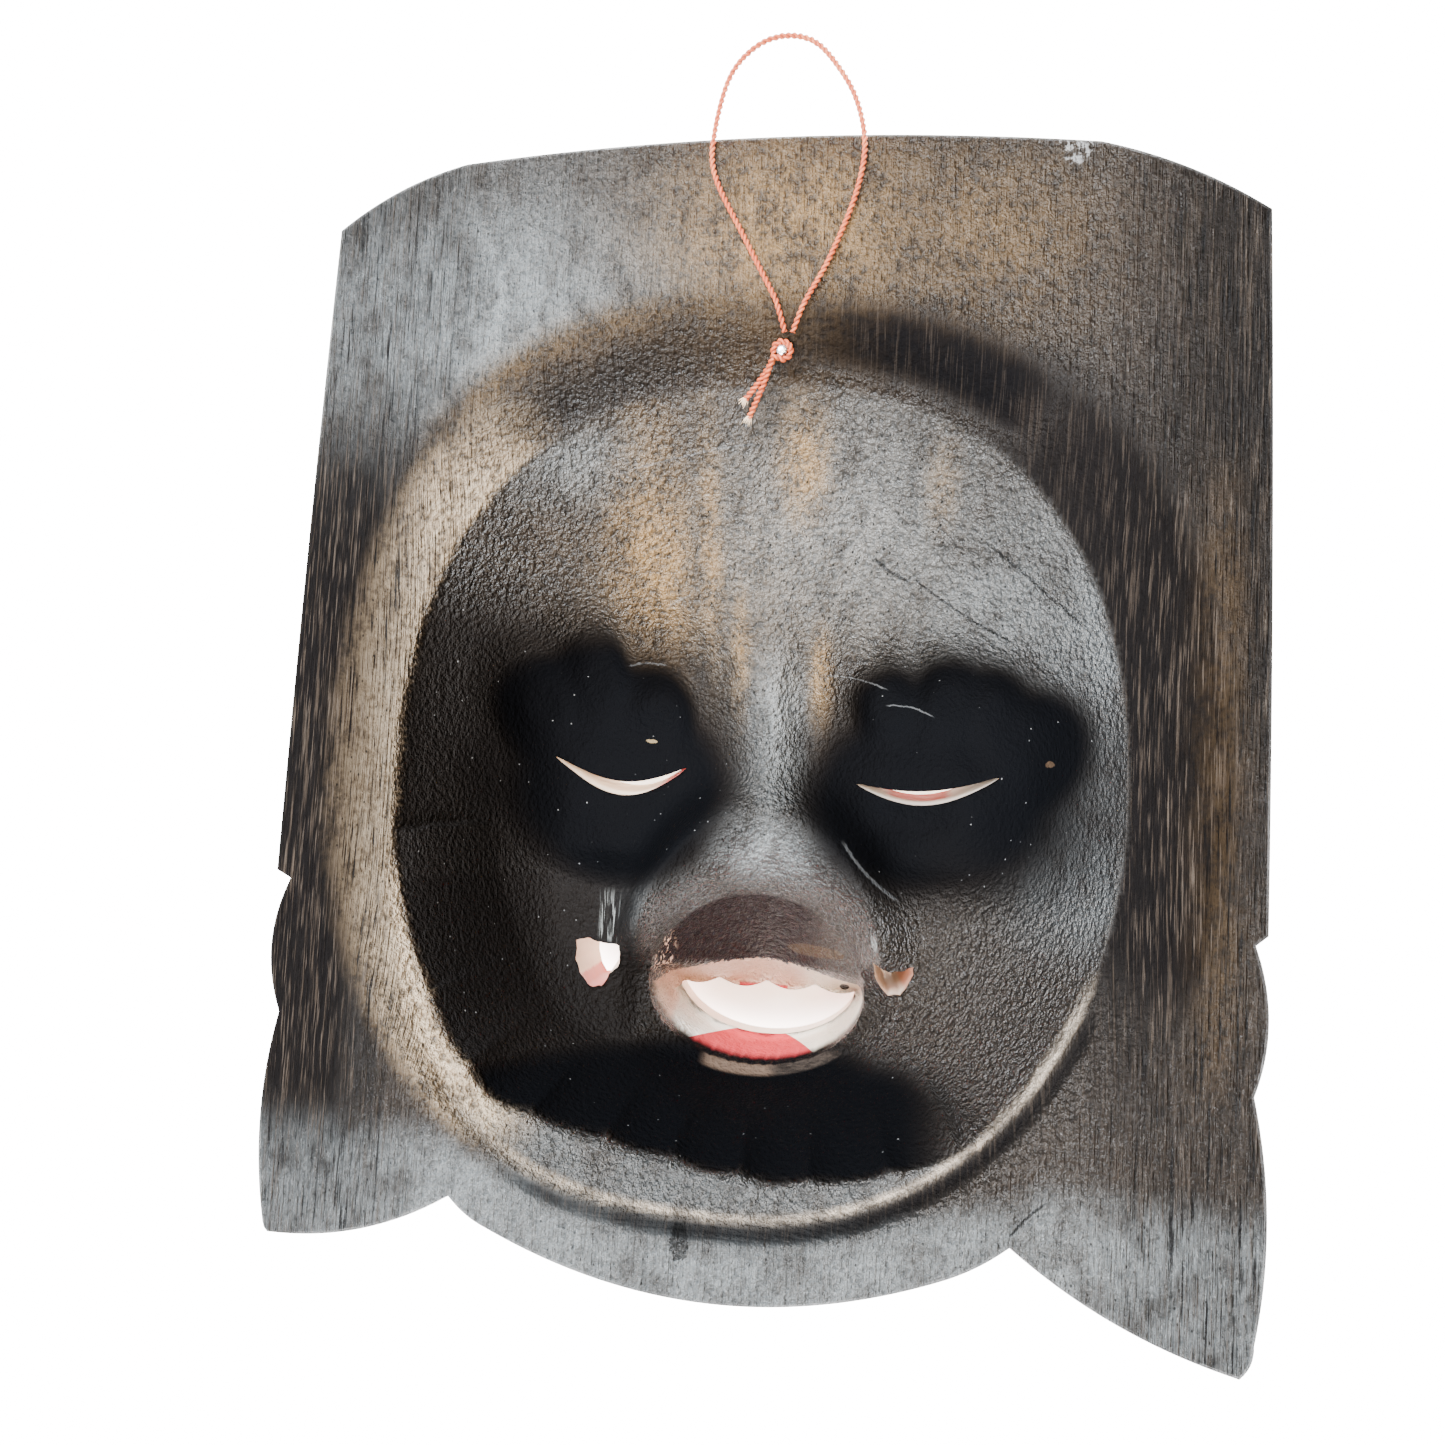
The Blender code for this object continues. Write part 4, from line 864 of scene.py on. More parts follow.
def back_zones(x, y):
    # Where the dark coat of the back gets painted light: tan and beige painted highlights, blue-grey
    # painted sheen, and blackest painted shade.
    inner, outer = rim_inner(x, y), rim_outer(x, y)
    inward = inward_run(x, y)
    turn = chin_turn(x, y)
    band_width = chin_band(x, y)
    past_band = inward - band_width - 0.55 * chin_wave(x, y) * smooth(0.0, 2.0, band_width)
    hollow = smooth(-0.5, 0.9, past_band)
    # The chin's gentle band and a thin line along the rim there are painted lighter: painted highlights
    # where the gentle slope and the edge catch the light.
    in_band = smooth(-0.5, 0.7, inward) * (1.0 - hollow) * smooth(0.2, 1.2, band_width)
    rim_highlight = bell(inward, 0.1, 0.55) * window(turn, -40.0, 62.0, 4.0)
    # Painted shade: the eye sockets go blackest, as deep recesses.
    eye_left = fade(0.72, 1.08, np.sqrt(((x + 37.0) / 41.0) ** 2 + ((y - 13.0) / 38.0) ** 2))
    eye_right = fade(0.74, 1.06, np.sqrt(((x - 42.0) / 41.0) ** 2 + ((y - 12.0) / 36.0) ** 2))
    socket = np.maximum(eye_left, eye_right) * (0.55 + 0.45 * smooth(0.1, 0.7, sockets(x, y))) * hollow

    # Painted beige highlight on the left bevel and the left of the chin's band, where the warm light
    # falls.
    left_bevel = (1.0 - hollow) * fade(0.93, 1.05, outer) * window(turn, -142.0, -36.0, 10.0)
    beige_sheen = np.maximum(0.9 * left_bevel, 0.9 * in_band * window(turn, -90.0, -33.0, 3.0))
    # Painted warm highlights: the left bevel, a streak on the right ridge, ovals on the forehead and its
    # ridges, the sheen on the top of the flat back, and a band on its upper left.
    warm_sheen = np.maximum.reduce([
        left_bevel,
        0.32 * bell(x, 90.3, 4.2) * window(y, -30.0, 66.0, 22.0),
        blots(x, y, WARM_SHEEN_HOLLOW) * hollow,
        blots(x, y, WARM_SHEEN_FLAT),
        0.35 * bell(inward, -14.0, 5.0) * window(turn, -172.0, -138.0, 10.0),
    ])
    # Painted blue-grey sheen, the reflection of cool light: the forehead, bridge and right wall, the upper
    # left rim, the chin's band, and the bottom and upper left of the flat back.
    cool_sheen = np.maximum.reduce([
        blots(x, y, COOL_SHEEN_HOLLOW) * hollow,
        0.6 * hump(x, y, -43.0, 80.0, 20.0, 9.0) * smooth(-2.0, 4.0, inward),
        0.5 * window(x, 58.0, 76.0, 6.0) * window(y, -16.0, 60.0, 12.0) * hollow,
        0.3 * in_band * window(turn, -36.0, 40.0, 3.0),
        0.55 * fade(0.98, 1.04, 2.0 - outer) * smooth(-62.0, -72.0, y),
        hump(x, y, -64.0, 108.0, 44.0, 26.0) * smooth(1.02, 1.08, outer),
        0.7 * smooth(-58.0, -70.0, y) * smooth(1.0, 1.06, outer),
    ])
    # Painted shade, near-black: the sockets, the left wall, bottom and lower left of the hollow, a band
    # just outside the rim at the chin, the right bevel and the left side of the flat back.
    painted_shade = np.maximum.reduce([
        socket,
        0.7 * hollow * smooth(-34.0, -54.0, x) * smooth(66.0, 40.0, y),
        hollow * smooth(-44.0, -54.0, y) * fade(34.0, 58.0, x),
        0.9 * bell(inward, -2.2, 1.8) * window(turn, -30.0, 62.0, 6.0),
        0.75 * hollow * smooth(-20.0, -30.0, x) * smooth(-4.0, -14.0, y),
        0.85 * fade(0.99, 1.14, outer) * (1.0 - hollow) * window(turn, 58.0, 150.0, 14.0),
        0.85 * smooth(-66.0, -84.0, x) * window(y, -66.0, 80.0, 12.0),
    ])
    # Less painted shade on the shiny bump on the right wall, the chin's band and the rim, as these are
    # lit.
    painted_shade = painted_shade * (1.0 - 0.7 * hump(x, y, 50.0, -28.0, 12.0, 14.0))
    painted_shade = painted_shade * (1.0 - 0.9 * np.maximum(in_band, rim_highlight))
    # More painted shade on the top bevel, the right edge, the lower left corner and the left wall, which
    # face away from the light.
    top_bevel = smooth(-2.0, 6.0, -inward) * fade(0.98, 1.1, outer) * smooth(128.0, 150.0, np.abs(turn))
    painted_shade = np.maximum.reduce([
        painted_shade,
        (0.45 + 0.5 * smooth(-10.0, 25.0, x)) * top_bevel,
        0.6 * smooth(70.0, 95.0, x) * smooth(-30.0, 50.0, y),
        0.5 * hump(x, y, -88.0, -60.0, 10.0, 16.0),
        0.8 * hump(x, y, -62.0, 10.0, 16.0, 36.0) * hollow,
    ])
    side = smooth(50.0, 84.0, np.abs(x - 4.0))
    return {
        "warm_sheen": np.clip(warm_sheen * (1.0 - 0.9 * socket), 0.0, 1.0),
        "cool_sheen": np.clip(cool_sheen * (1.0 - 0.95 * socket), 0.0, 1.0),
        "beige_sheen": np.clip(beige_sheen, 0.0, 1.0),
        "painted_shade": np.clip(painted_shade, 0.0, 1.0),
        "grain_here": np.maximum(side, 0.3) * smooth(0.97, 1.03, inner),
        "mouth_in": (1.0 - mouth_radius(x, y)) * 20.0,
        "rim_highlight": rim_highlight,
    }


def front_zones(x, y):
    # Painted areas of the carved face.
    ang = np.arctan2(x - FACE_X, y - 20.0)
    band = diadem_band(x, y)
    crest = crest_radius(x, y)
    crown = smooth(CROWN_START + 2.0, CROWN_START + 4.0, y)
    gold = np.clip(np.maximum(np.maximum(crown, band * 2.0 - 0.6), 1.0 - smooth(0.98, 1.02, crest)), 0, 1)
    face = face_radius(x, y)
    lips = lip_radius(x, y)
    ball = np.full_like(x, 99.0)
    brow = np.zeros_like(x)
    for ex, ey in (EYE_LEFT, EYE_RIGHT):
        ball = np.minimum(ball, np.sqrt((x - ex) ** 2 + (y - ey) ** 2))
        brow = np.maximum(brow, brow_arch(x, y, ex, ey, 4.0, 0.0, 9.0))
    nostril = np.zeros_like(x)
    tusk = np.zeros_like(x)
    for side in (-1.0, 1.0):
        nostril = np.maximum(nostril, hump(x, y, FACE_X + side * 9.5, -13.0, 3.2, 2.2))
        tusk = np.maximum(tusk, hump(x, y, side * 29.5, -30.0, 3.6, 9.0))
    return {
        "gold": gold,
        "face": fade(0.97, 1.0, face),
        "lips": fade(0.34, 0.4, np.abs(lips - LIP_CREST)),
        "inside_lips": fade(1.0, 1.08, lips),
        "eye_ring": ball,
        "brow": smooth(0.35, 0.6, brow),
        "nostril": smooth(0.3, 0.6, nostril),
        "tusk": smooth(0.35, 0.6, tusk),
        "collar": bell(face, COLLAR_RADIUS, 0.06) * fade(66.0, 82.0, y),
        "strand": np.abs(np.sin(np.arctan2(x - FACE_X, -(y - FACE_Y)) * 34.0)),
        "gem": np.clip(np.maximum(bell(crest, 0.0, 0.2) * 2.0 - 0.9,
                                  band * smooth(0.86, 0.95, np.abs(np.cos(ang * 6.0)))), 0.0, 1.0),
        "gem_turn": np.cos(ang * 6.0),
    }


def add_zones(data, verts):
    # Named fields that the paints read, worked out from the shape.
    x, y, z = verts[:, 0], verts[:, 1], verts[:, 2]
    fields = {"across": x, "high": y, "deep": -z}
    fields.update(back_zones(x, y))
    fields.update(front_zones(x, y))
    for name, values in fields.items():
        layer = data.attributes.new(name, "FLOAT", "POINT")
        layer.data.foreach_set("value", values.astype(np.float32))


# Short helpers for node trees
class Tree:
    def __init__(self, name):
        self.material = bpy.data.materials.new(name)
        self.material.use_nodes = True
        self.nodes = self.material.node_tree.nodes
        self.links = self.material.node_tree.links
        self.shader = self.nodes["Principled BSDF"]
        self.where = self.nodes.new("ShaderNodeTexCoord").outputs["Object"]

    def put(self, socket, value):
        if hasattr(value, "is_linked"):
            self.links.new(value, socket)
        else:
            socket.default_value = value

    def give(self, name, value):
        self.put(self.shader.inputs[name], value)

    def plain_coat(self, base, rough, relief, height):
        # Colour, sheen and fine relief of a coat without wear.
        self.give("Base Color", base)
        self.give("Roughness", rough)
        self.give("Normal", self.bump(relief, height))
        return self.material

    def scale_add(self, value, scale, add):
        return self.math("MULTIPLY_ADD", value, scale, add)

    def node(self, kind, output, inputs, **settings):
        # New node with these settings and inputs; gives back the one output that is used.
        node = self.nodes.new("ShaderNode" + kind)
        for name, value in settings.items():
            setattr(node, name, value)
        for name, value in inputs.items():
            self.put(node.inputs[name], value)
        return node.outputs[output]

    def field(self, name):
        return self.node("Attribute", "Fac", {}, attribute_name=name)

    def scaled(self, sx, sy, sz):
        # Coordinates in millimetres, stretched for grain.
        scale = (1.0 / (MM * sx), 1.0 / (MM * sy), 1.0 / (MM * sz))
        return self.node("Mapping", "Vector", {"Scale": scale, "Vector": self.where})

    def noise(self, vector, detail=3.0, rough=0.5):
        inputs = {"Scale": 1.0, "Detail": detail, "Roughness": rough, "Vector": vector}
        return self.node("TexNoise", "Fac", inputs)

    def voronoi(self, vector):
        inputs = {"Scale": 1.0, "Randomness": 1.0, "Vector": vector}
        return self.node("TexVoronoi", "Distance", inputs, feature="F1")

    def math(self, kind, *values):
        return self.node("Math", 0, dict(enumerate(values)), operation=kind)

    def times(self, *values):
        out = values[0]
        for value in values[1:]:
            out = self.math("MULTIPLY", out, value)
        return out

    def most(self, *values):
        out = values[0]
        for value in values[1:]:
            out = self.math("MAXIMUM", out, value)
        return out

    def step(self, value, low, high, out_low=0.0, out_high=1.0):
        inputs = {"Value": value, "From Min": low, "From Max": high, "To Min": out_low, "To Max": out_high}
        return self.node("MapRange", "Result", inputs, interpolation_type="SMOOTHSTEP")

    def blend(self, amount, a, b):
        node = self.nodes.new("ShaderNodeMix")
        node.data_type = "RGBA"
        sockets_in = {s.identifier: s for s in node.inputs}
        self.put(sockets_in["Factor_Float"], amount)
        for key, value in (("A_Color", a), ("B_Color", b)):
            self.put(sockets_in[key], (*value, 1.0) if isinstance(value, tuple) else value)
        return [s for s in node.outputs if s.identifier == "Result_Color"][0]

    def bump(self, height, distance):
        return self.node("Bump", "Normal", {"Strength": 1.0, "Distance": distance, "Height": height})

    def stroke(self, x, y, start, end, bulge, width, waver=None):
        # A thin line from start to end in millimetres that bows by a share of its length.
        ax, ay = start
        dx, dy = end[0] - ax, end[1] - ay
        length = math.hypot(dx, dy)
        ux, uy = dx / length, dy / length
        along = self.scale_add(x, ux / length, -(ax * ux + ay * uy) / length)
        along = self.scale_add(y, uy / length, along)
        off = self.scale_add(x, -uy, ax * uy - ay * ux)
        off = self.scale_add(y, ux, off)
        bow = self.times(along, self.math("SUBTRACT", 1.0, along), 4.0 * bulge * length)
        off = self.math("SUBTRACT", off, bow)
        if waver is not None:
            off = self.math("ADD", off, waver)
        near = self.step(self.math("ABSOLUTE", off), width, width * 0.35)
        ends = self.times(self.step(along, 0.0, 0.12), self.step(along, 1.0, 0.88))
        return self.times(near, ends)

    def spot(self, x, y, cx, cy, rx, ry, ragged):
        # A ragged blot.
        u = self.scale_add(x, 1.0 / rx, -cx / rx)
        v = self.scale_add(y, 1.0 / ry, -cy / ry)
        r = self.math("ADD", self.math("MULTIPLY", u, u), self.math("MULTIPLY", v, v))
        return self.step(self.math("ADD", r, ragged), 1.1, 0.85)


def sheen_and_shade_coat(t):
    # The dark coat with painted light on it, shared by all of the back: tan and beige painted highlights,
    # blue-grey painted sheen and near-black painted shade.
    warm_sheen, cool_sheen, painted_shade = t.field("warm_sheen"), t.field("cool_sheen"), t.field("painted_shade")
    broad = t.noise(t.scaled(24.0, 46.0, 40.0), 2.0)
    patch = t.noise(t.scaled(5.0, 8.0, 6.0), 2.0, 0.55)
    stipple = t.noise(t.scaled(1.1, 1.35, 1.1), 2.0, 0.6)
    pores = t.voronoi(t.scaled(1.35, 2.4, 2.0))
    base = t.blend(broad, (0.013, 0.010, 0.008), (0.026, 0.019, 0.014))
    # Painted blue-grey sheen.
    cool_now = t.times(cool_sheen, t.step(patch, 0.25, 0.62, 0.35, 1.0))
    base = t.blend(cool_now, base, (0.165, 0.178, 0.182))
    # Painted warm highlight, broken up by stipple and patches.
    sheen_breakup = t.scale_add(stipple, 0.5, t.times(patch, 0.5))
    base = t.blend(t.times(warm_sheen, t.step(sheen_breakup, 0.36, 0.6, 0.25, 1.0)), base, (0.255, 0.152, 0.062))
    # Painted beige highlight.
    beige_sheen = t.times(t.field("beige_sheen"), t.step(sheen_breakup, 0.38, 0.58, 0.3, 1.0))
    base = t.blend(beige_sheen, base, (0.400, 0.310, 0.215))
    # Painted shade, near-black.
    base = t.blend(t.times(painted_shade, 0.95), base, (0.0012, 0.0016, 0.0024))
    pit = t.times(t.step(pores, 0.16, 0.09), t.step(t.most(warm_sheen, cool_sheen), 0.05, 0.4, 0.25, 1.0))
    base = t.blend(t.times(pit, 0.85), base, (0.003, 0.003, 0.003))
    speck = t.times(t.step(stipple, 0.47, 0.36), t.step(painted_shade, 0.6, 0.2), 0.36)
    base = t.blend(speck, base, (0.006, 0.006, 0.006))
    rough = t.step(painted_shade, 0.3, 1.0, 0.3, 0.7)
    t.give("Roughness", t.scale_add(stipple, 0.12, rough))
    t.give("Specular IOR Level", t.step(painted_shade, 0.1, 0.9, 0.55, 0.02))
    return base, patch, stipple, pit


def finish_coat(t, base, height):
    t.give("Base Color", base)
    calm = t.step(t.field("painted_shade"), 0.3, 1.0, 1.0, 0.2)
    t.give("Normal", t.bump(t.times(height, calm), 0.0040))
    return t.material


def border_paint():
    # Flat back and bevel, with the wood's grain showing through at the sides.
    t = Tree("border_paint")
    x, y = t.field("across"), t.field("high")
    base, patch, stipple, _ = sheen_and_shade_coat(t)
    grain_here = t.field("grain_here")
    grain = t.noise(t.scaled(0.55, 17.0, 17.0), 3.0, 0.62)
    fine_grain = t.noise(t.scaled(0.34, 11.0, 11.0), 2.0, 0.6)
    base = t.blend(t.times(t.step(grain, 0.54, 0.68), grain_here, 0.5), base, (0.060, 0.045, 0.034))
    base = t.blend(t.times(t.step(fine_grain, 0.57, 0.68), grain_here, 0.5), base, (0.090, 0.070, 0.055))
    base = t.blend(t.times(t.step(grain, 0.45, 0.33), grain_here), base, (0.004, 0.0035, 0.0035))
    # Painted highlight: a pale tan line along the rim at the chin.
    painted_rim_highlight = t.times(t.field("rim_highlight"), t.step(patch, 0.35, 0.6, 0.35, 0.9))
    base = t.blend(painted_rim_highlight, base, (0.42, 0.34, 0.26))
    ragged = t.scale_add(patch, 1.6, -0.8)
    pit_spot = t.spot(x, y, -7.0, -79.0, 2.0, 3.2, t.scale_add(stipple, 2.0, -1.0))
    base = t.blend(t.times(pit_spot, 0.8), base, (0.003, 0.003, 0.003))
    scuff = t.times(t.spot(x, y, 61.0, 140.0, 3.2, 4.0, ragged), t.step(stipple, 0.5, 0.56))
    base = t.blend(t.times(scuff, 0.6), base, (0.34, 0.34, 0.34))
    crack = t.stroke(x, y, (55.0, -71.5), (62.0, -64.0), 0.05, 0.35)
    base = t.blend(t.times(crack, 0.9), base, (0.003, 0.003, 0.003))
    height = t.times(t.scale_add(fine_grain, 0.5, grain), grain_here, 0.9)
    height = t.math("ADD", height, t.times(stipple, 0.6))
    return finish_coat(t, base, height)


def hollow_paint():
    # Carved hollow, with painted highlight lines along carved edges, a painted highlight on the bulge over
    # the left eye slit, and the cracks and blots that it shows.
    t = Tree("hollow_paint")
    x, y = t.field("across"), t.field("high")
    base, patch, stipple, pit = sheen_and_shade_coat(t)
    specks = t.voronoi(t.scaled(2.6, 2.6, 2.6))
    fleck = t.times(t.step(specks, 0.085, 0.05), t.step(patch, 0.5, 0.6), 0.45)
    base = t.blend(fleck, base, (0.36, 0.36, 0.36))
    waver = t.scale_add(stipple, 0.7, -0.35)
    # Painted highlights: pale lines along the edges of carved cuts, where they catch the light.
    edge_highlights = [
        ((-29.5, 78.8), (0.0, 84.4), 0.03, 0.30), ((-23.1, 50.9), (-17.1, 53.9), 0.02, 0.36),
        ((13.0, 37.0), (29.0, 35.0), 0.06, 0.24), ((28.0, 31.5), (40.0, 29.0), 0.08, 0.22),
        ((-34.0, 38.0), (-24.0, 38.5), 0.05, 0.22), ((19.5, -0.5), (33.5, -14.5), -0.06, 0.42),
    ]
    dark = [
        ((47.6, 64.4), (68.4, 44.3), 0.02, 0.40), ((32.0, 58.8), (56.6, 42.9), -0.02, 0.34),
        ((24.0, 62.5), (33.0, 57.0), -0.05, 0.5),
    ]
    pale_highlight = t.most(*[t.stroke(x, y, *row, waver) for row in edge_highlights])
    base = t.blend(t.times(pale_highlight, 0.35), base, (0.16, 0.165, 0.17))
    crack = t.most(*[t.stroke(x, y, *row, waver) for row in dark])
    base = t.blend(t.times(crack, 0.85), base, (0.003, 0.003, 0.003))
    ragged = t.scale_add(stipple, 2.0, -1.0)
    # Painted highlight: a pale tan blot on the bulge over the left eye slit.
    base = t.blend(t.times(t.spot(x, y, -29.0, 20.5, 1.5, 0.45, ragged), 0.55), base, (0.30, 0.22, 0.12))
    base = t.blend(t.times(t.spot(x, y, 64.5, 18.5, 0.7, 0.7, ragged), 0.35), base, (0.14, 0.085, 0.05))
    run = t.times(t.step(t.noise(t.scaled(0.5, 9.0, 9.0), 1.0), 0.52, 0.6), 0.6, t.step(y, -29.0, -27.0))
    left_run = t.times(t.step(x, -38.6, -37.0), t.step(x, -32.0, -33.4), t.step(y, -15.0, -21.0))
    right_run = t.times(t.step(x, 25.6, 26.6), t.step(x, 29.6, 28.4), t.step(y, -20.0, -24.0))
    base = t.blend(t.times(run, t.most(left_run, right_run)), base, (0.26, 0.27, 0.26))
    height = t.math("SUBTRACT", t.times(stipple, 0.75), t.times(pit, 0.4))
    return finish_coat(t, base, height)


def mouth_paint():
    # Purple-brown palate, then the ragged edge of the face's own colours.
    t = Tree("mouth_paint")
    x, y, deep = t.field("across"), t.field("high"), t.field("deep")
    base, patch, stipple, _ = sheen_and_shade_coat(t)
    ragged = t.scale_add(patch, 1.4, -0.7)
    mouth_in = t.field("mouth_in")
    streak = t.noise(t.scaled(5.0, 0.7, 0.9), 3.0, 0.6)
    palate = t.blend(streak, (0.005, 0.0022, 0.0026), (0.016, 0.0078, 0.0082))
    palate = t.blend(t.times(t.step(x, 10.0, 20.0), 0.75), palate, (0.080, 0.066, 0.056))
    rust = t.times(t.spot(x, y, 13.0, -29.5, 7.0, 1.6, ragged), 0.5)
    palate = t.blend(rust, palate, (0.11, 0.065, 0.035))
    base = t.blend(t.times(t.step(mouth_in, 0.15, 0.7), 0.97), base, palate)
    shine = t.step(t.field("painted_shade"), 0.1, 0.9, 0.55, 0.02)
    t.give("Specular IOR Level", t.times(shine, t.step(mouth_in, 0.1, 0.9, 1.0, 0.4)))
    rag = t.scale_add(t.noise(t.scaled(1.3, 1.3, 1.3), 3.0, 0.65), 3.4, -1.7)
    edge = t.scale_add(t.times(x, x), -0.0078, -33.6)
    below = t.math("ADD", t.math("SUBTRACT", edge, y), rag)
    painted = t.times(t.step(below, -0.12, 0.12), t.step(mouth_in, 0.1, 0.35))
    flecks = t.times(t.step(t.noise(t.scaled(0.9, 2.2, 0.9), 2.0, 0.7), 0.57, 0.6),
                     t.step(x, -20.0, -22.5), t.step(mouth_in, 0.1, 0.4))
    painted = t.most(painted, flecks)
    cream = t.blend(t.step(x, -4.0, 20.0), (0.97, 0.90, 0.78), (0.95, 0.80, 0.62))
    peach = t.blend(patch, (0.84, 0.50, 0.36), (0.88, 0.60, 0.44))
    band = t.times(t.step(y, -43.6, -43.2), t.step(x, 14.0, 6.0))
    strip = t.step(t.scale_add(y, 0.55, x), -47.2, -47.8)
    face_paint = t.blend(t.most(band, strip), cream, peach)
    curve = t.scale_add(x, 1.0 / 16.5, 1.0 / 16.5)
    tongue_line = t.scale_add(t.times(curve, curve), -36.0, 83.5)
    tongue = t.times(t.step(t.math("SUBTRACT", tongue_line, deep), -0.25, 0.25), t.step(y, -41.0, -42.0))
    face_paint = t.blend(tongue, face_paint, t.blend(patch, (0.60, 0.035, 0.045), (0.72, 0.085, 0.09)))
    base = t.blend(painted, base, face_paint)
    notch = t.times(t.spot(x, y, 20.5, -40.2, 1.2, 1.2, ragged), t.step(mouth_in, 0.2, 0.5))
    base = t.blend(notch, base, (0.003, 0.003, 0.003))
    under = t.times(t.step(mouth_in, 0.05, -0.3), t.step(mouth_in, -2.4, -1.8), t.step(y, -50.0, -52.0))
    strip_left = t.times(under, t.step(x, -13.0, -9.0), t.step(x, 7.0, 4.0))
    strip_right = t.times(under, t.step(x, 3.0, 6.0), t.step(x, 23.0, 20.0))
    base = t.blend(t.times(strip_left, 0.75), base, (0.15, 0.10, 0.072))
    base = t.blend(t.times(strip_right, t.step(streak, 0.35, 0.6, 0.4, 0.9)), base, (0.050, 0.038, 0.031))
    return finish_coat(t, base, stipple)


def front_paint():
    t = Tree("front_paint")
    stain = t.noise(t.scaled(9.0, 12.0, 9.0), 4.0)
    fine = t.noise(t.scaled(0.8, 1.2, 0.8), 3.0)
    white = t.blend(stain, (0.74, 0.70, 0.62), (0.86, 0.83, 0.77))
    skin = t.blend(t.step(t.field("deep"), 60.0, 82.0), white, (0.80, 0.58, 0.48))
    border = t.blend(fine, (0.20, 0.02, 0.015), (0.33, 0.05, 0.03))
    fur = t.blend(t.step(t.field("strand"), 0.25, 0.75), (0.045, 0.03, 0.025), (0.72, 0.68, 0.60))
    base = t.blend(t.field("face"), border, skin)
    base = t.blend(t.step(t.field("collar"), 0.3, 0.55), base, fur)
    gold = t.blend(stain, (0.62, 0.38, 0.08), (0.85, 0.60, 0.20))
    gold_amount = t.field("gold")
    base = t.blend(gold_amount, base, gold)
    gem = t.blend(t.step(t.field("gem_turn"), -0.2, 0.2), (0.02, 0.22, 0.06), (0.42, 0.015, 0.02))
    base = t.blend(t.field("gem"), base, gem)
    base = t.blend(t.field("brow"), base, (0.03, 0.02, 0.015))
    ball = t.field("eye_ring")
    base = t.blend(t.step(ball, 18.4, 17.9), base, (0.42, 0.04, 0.03))
    base = t.blend(t.step(ball, 16.6, 16.1), base, (0.85, 0.82, 0.74))
    base = t.blend(t.step(ball, 8.6, 8.3), base, (0.70, 0.42, 0.07))
    base = t.blend(t.step(ball, 5.2, 4.9), base, (0.01, 0.01, 0.01))
    base = t.blend(t.field("nostril"), base, (0.08, 0.02, 0.02))
    base = t.blend(t.field("lips"), base, (0.50, 0.03, 0.03))
    base = t.blend(t.field("inside_lips"), base, (0.84, 0.78, 0.66))
    base = t.blend(t.field("tusk"), base, (0.86, 0.80, 0.66))
    t.give("Metallic", t.times(gold_amount, 0.55))
    return t.plain_coat(base, t.step(fine, 0.3, 0.7, 0.34, 0.48), fine, 0.00012)


def cut_paint():
    # Walls of the openings in the colours of the face.
    t = Tree("cut_paint")
    x, y, deep = t.field("across"), t.field("high"), t.field("deep")
    stain = t.noise(t.scaled(3.0, 3.0, 3.0), 3.0)
    edge = t.scale_add(t.noise(t.scaled(0.8, 0.8, 0.8), 3.0), 0.8, -0.4)
    cream = t.blend(stain, (0.80, 0.64, 0.50), (0.90, 0.80, 0.68))
    pink = t.blend(stain, (0.58, 0.13, 0.12), (0.72, 0.25, 0.21))
    # Eye slits: the right one's cream greyed as painted shade, pink at the inner end of the left, red
    # along the foot of the right
    left_pink = t.times(t.step(x, -28.5, -25.5), t.step(x, 0.0, -2.0))
    low_edge = t.step(t.math("ADD", deep, edge), 56.0, 57.5)
    right_red = t.times(t.step(x, 28.0, 31.0), t.step(x, 46.0, 43.0), low_edge)
    eye = t.blend(t.times(t.step(x, 10.0, 20.0), 0.75), cream, (0.46, 0.42, 0.38))
    eye = t.blend(left_pink, eye, pink)
    eye = t.blend(right_red, eye, (0.52, 0.07, 0.06))
    # Tusk gaps: pink low down, and peach on the right one
    tusk = t.blend(t.step(t.math("ADD", y, edge), -36.4, -37.2), cream, pink)
    tusk = t.blend(t.times(t.step(x, 30.4, 31.6), t.step(y, -35.0, -33.5)), tusk, (0.74, 0.42, 0.30))
    base = t.blend(t.step(y, -10.0, -11.0), eye, tusk)
    mouth = t.times(t.step(y, -39.5, -40.2), t.step(t.math("ABSOLUTE", x), 26.5, 26.0))
    base = t.blend(mouth, base, t.blend(t.step(y, -43.4, -43.8), (0.82, 0.55, 0.42), (0.86, 0.78, 0.66)))
    return t.plain_coat(base, t.step(stain, 0.3, 0.7, 0.4, 0.55), stain, 0.0001)


def twine_paint():
    t = Tree("twine")
    fibre = t.noise(t.scaled(0.16, 0.16, 0.16), 3.0)
    patch = t.noise(t.scaled(4.0, 4.0, 4.0), 2.0)
    base = t.blend(fibre, (0.36, 0.046, 0.010), (0.66, 0.125, 0.032))
    base = t.blend(t.step(patch, 0.5, 0.7, 0.0, 0.35), base, (0.80, 0.26, 0.09))
    # Painted shade: darker in the crevices where the strands press together.
    base = t.blend(t.step(t.field("crevice_shade"), 0.1, 0.9, 0.0, 0.75), base, (0.22, 0.035, 0.012))
    base = t.blend(t.field("fray"), base, (0.88, 0.66, 0.44))
    return t.plain_coat(base, t.step(fibre, 0.3, 0.7, 0.5, 0.7), fibre, 0.00006)


def nail_paint():
    t = Tree("nail_metal")
    spots = t.noise(t.scaled(0.35, 0.35, 0.35), 3.0)
    base = t.blend(spots, (0.62, 0.60, 0.59), (0.90, 0.89, 0.88))
    t.give("Metallic", 1.0)
    return t.plain_coat(base, t.step(spots, 0.3, 0.7, 0.22, 0.42), spots, 0.00005)


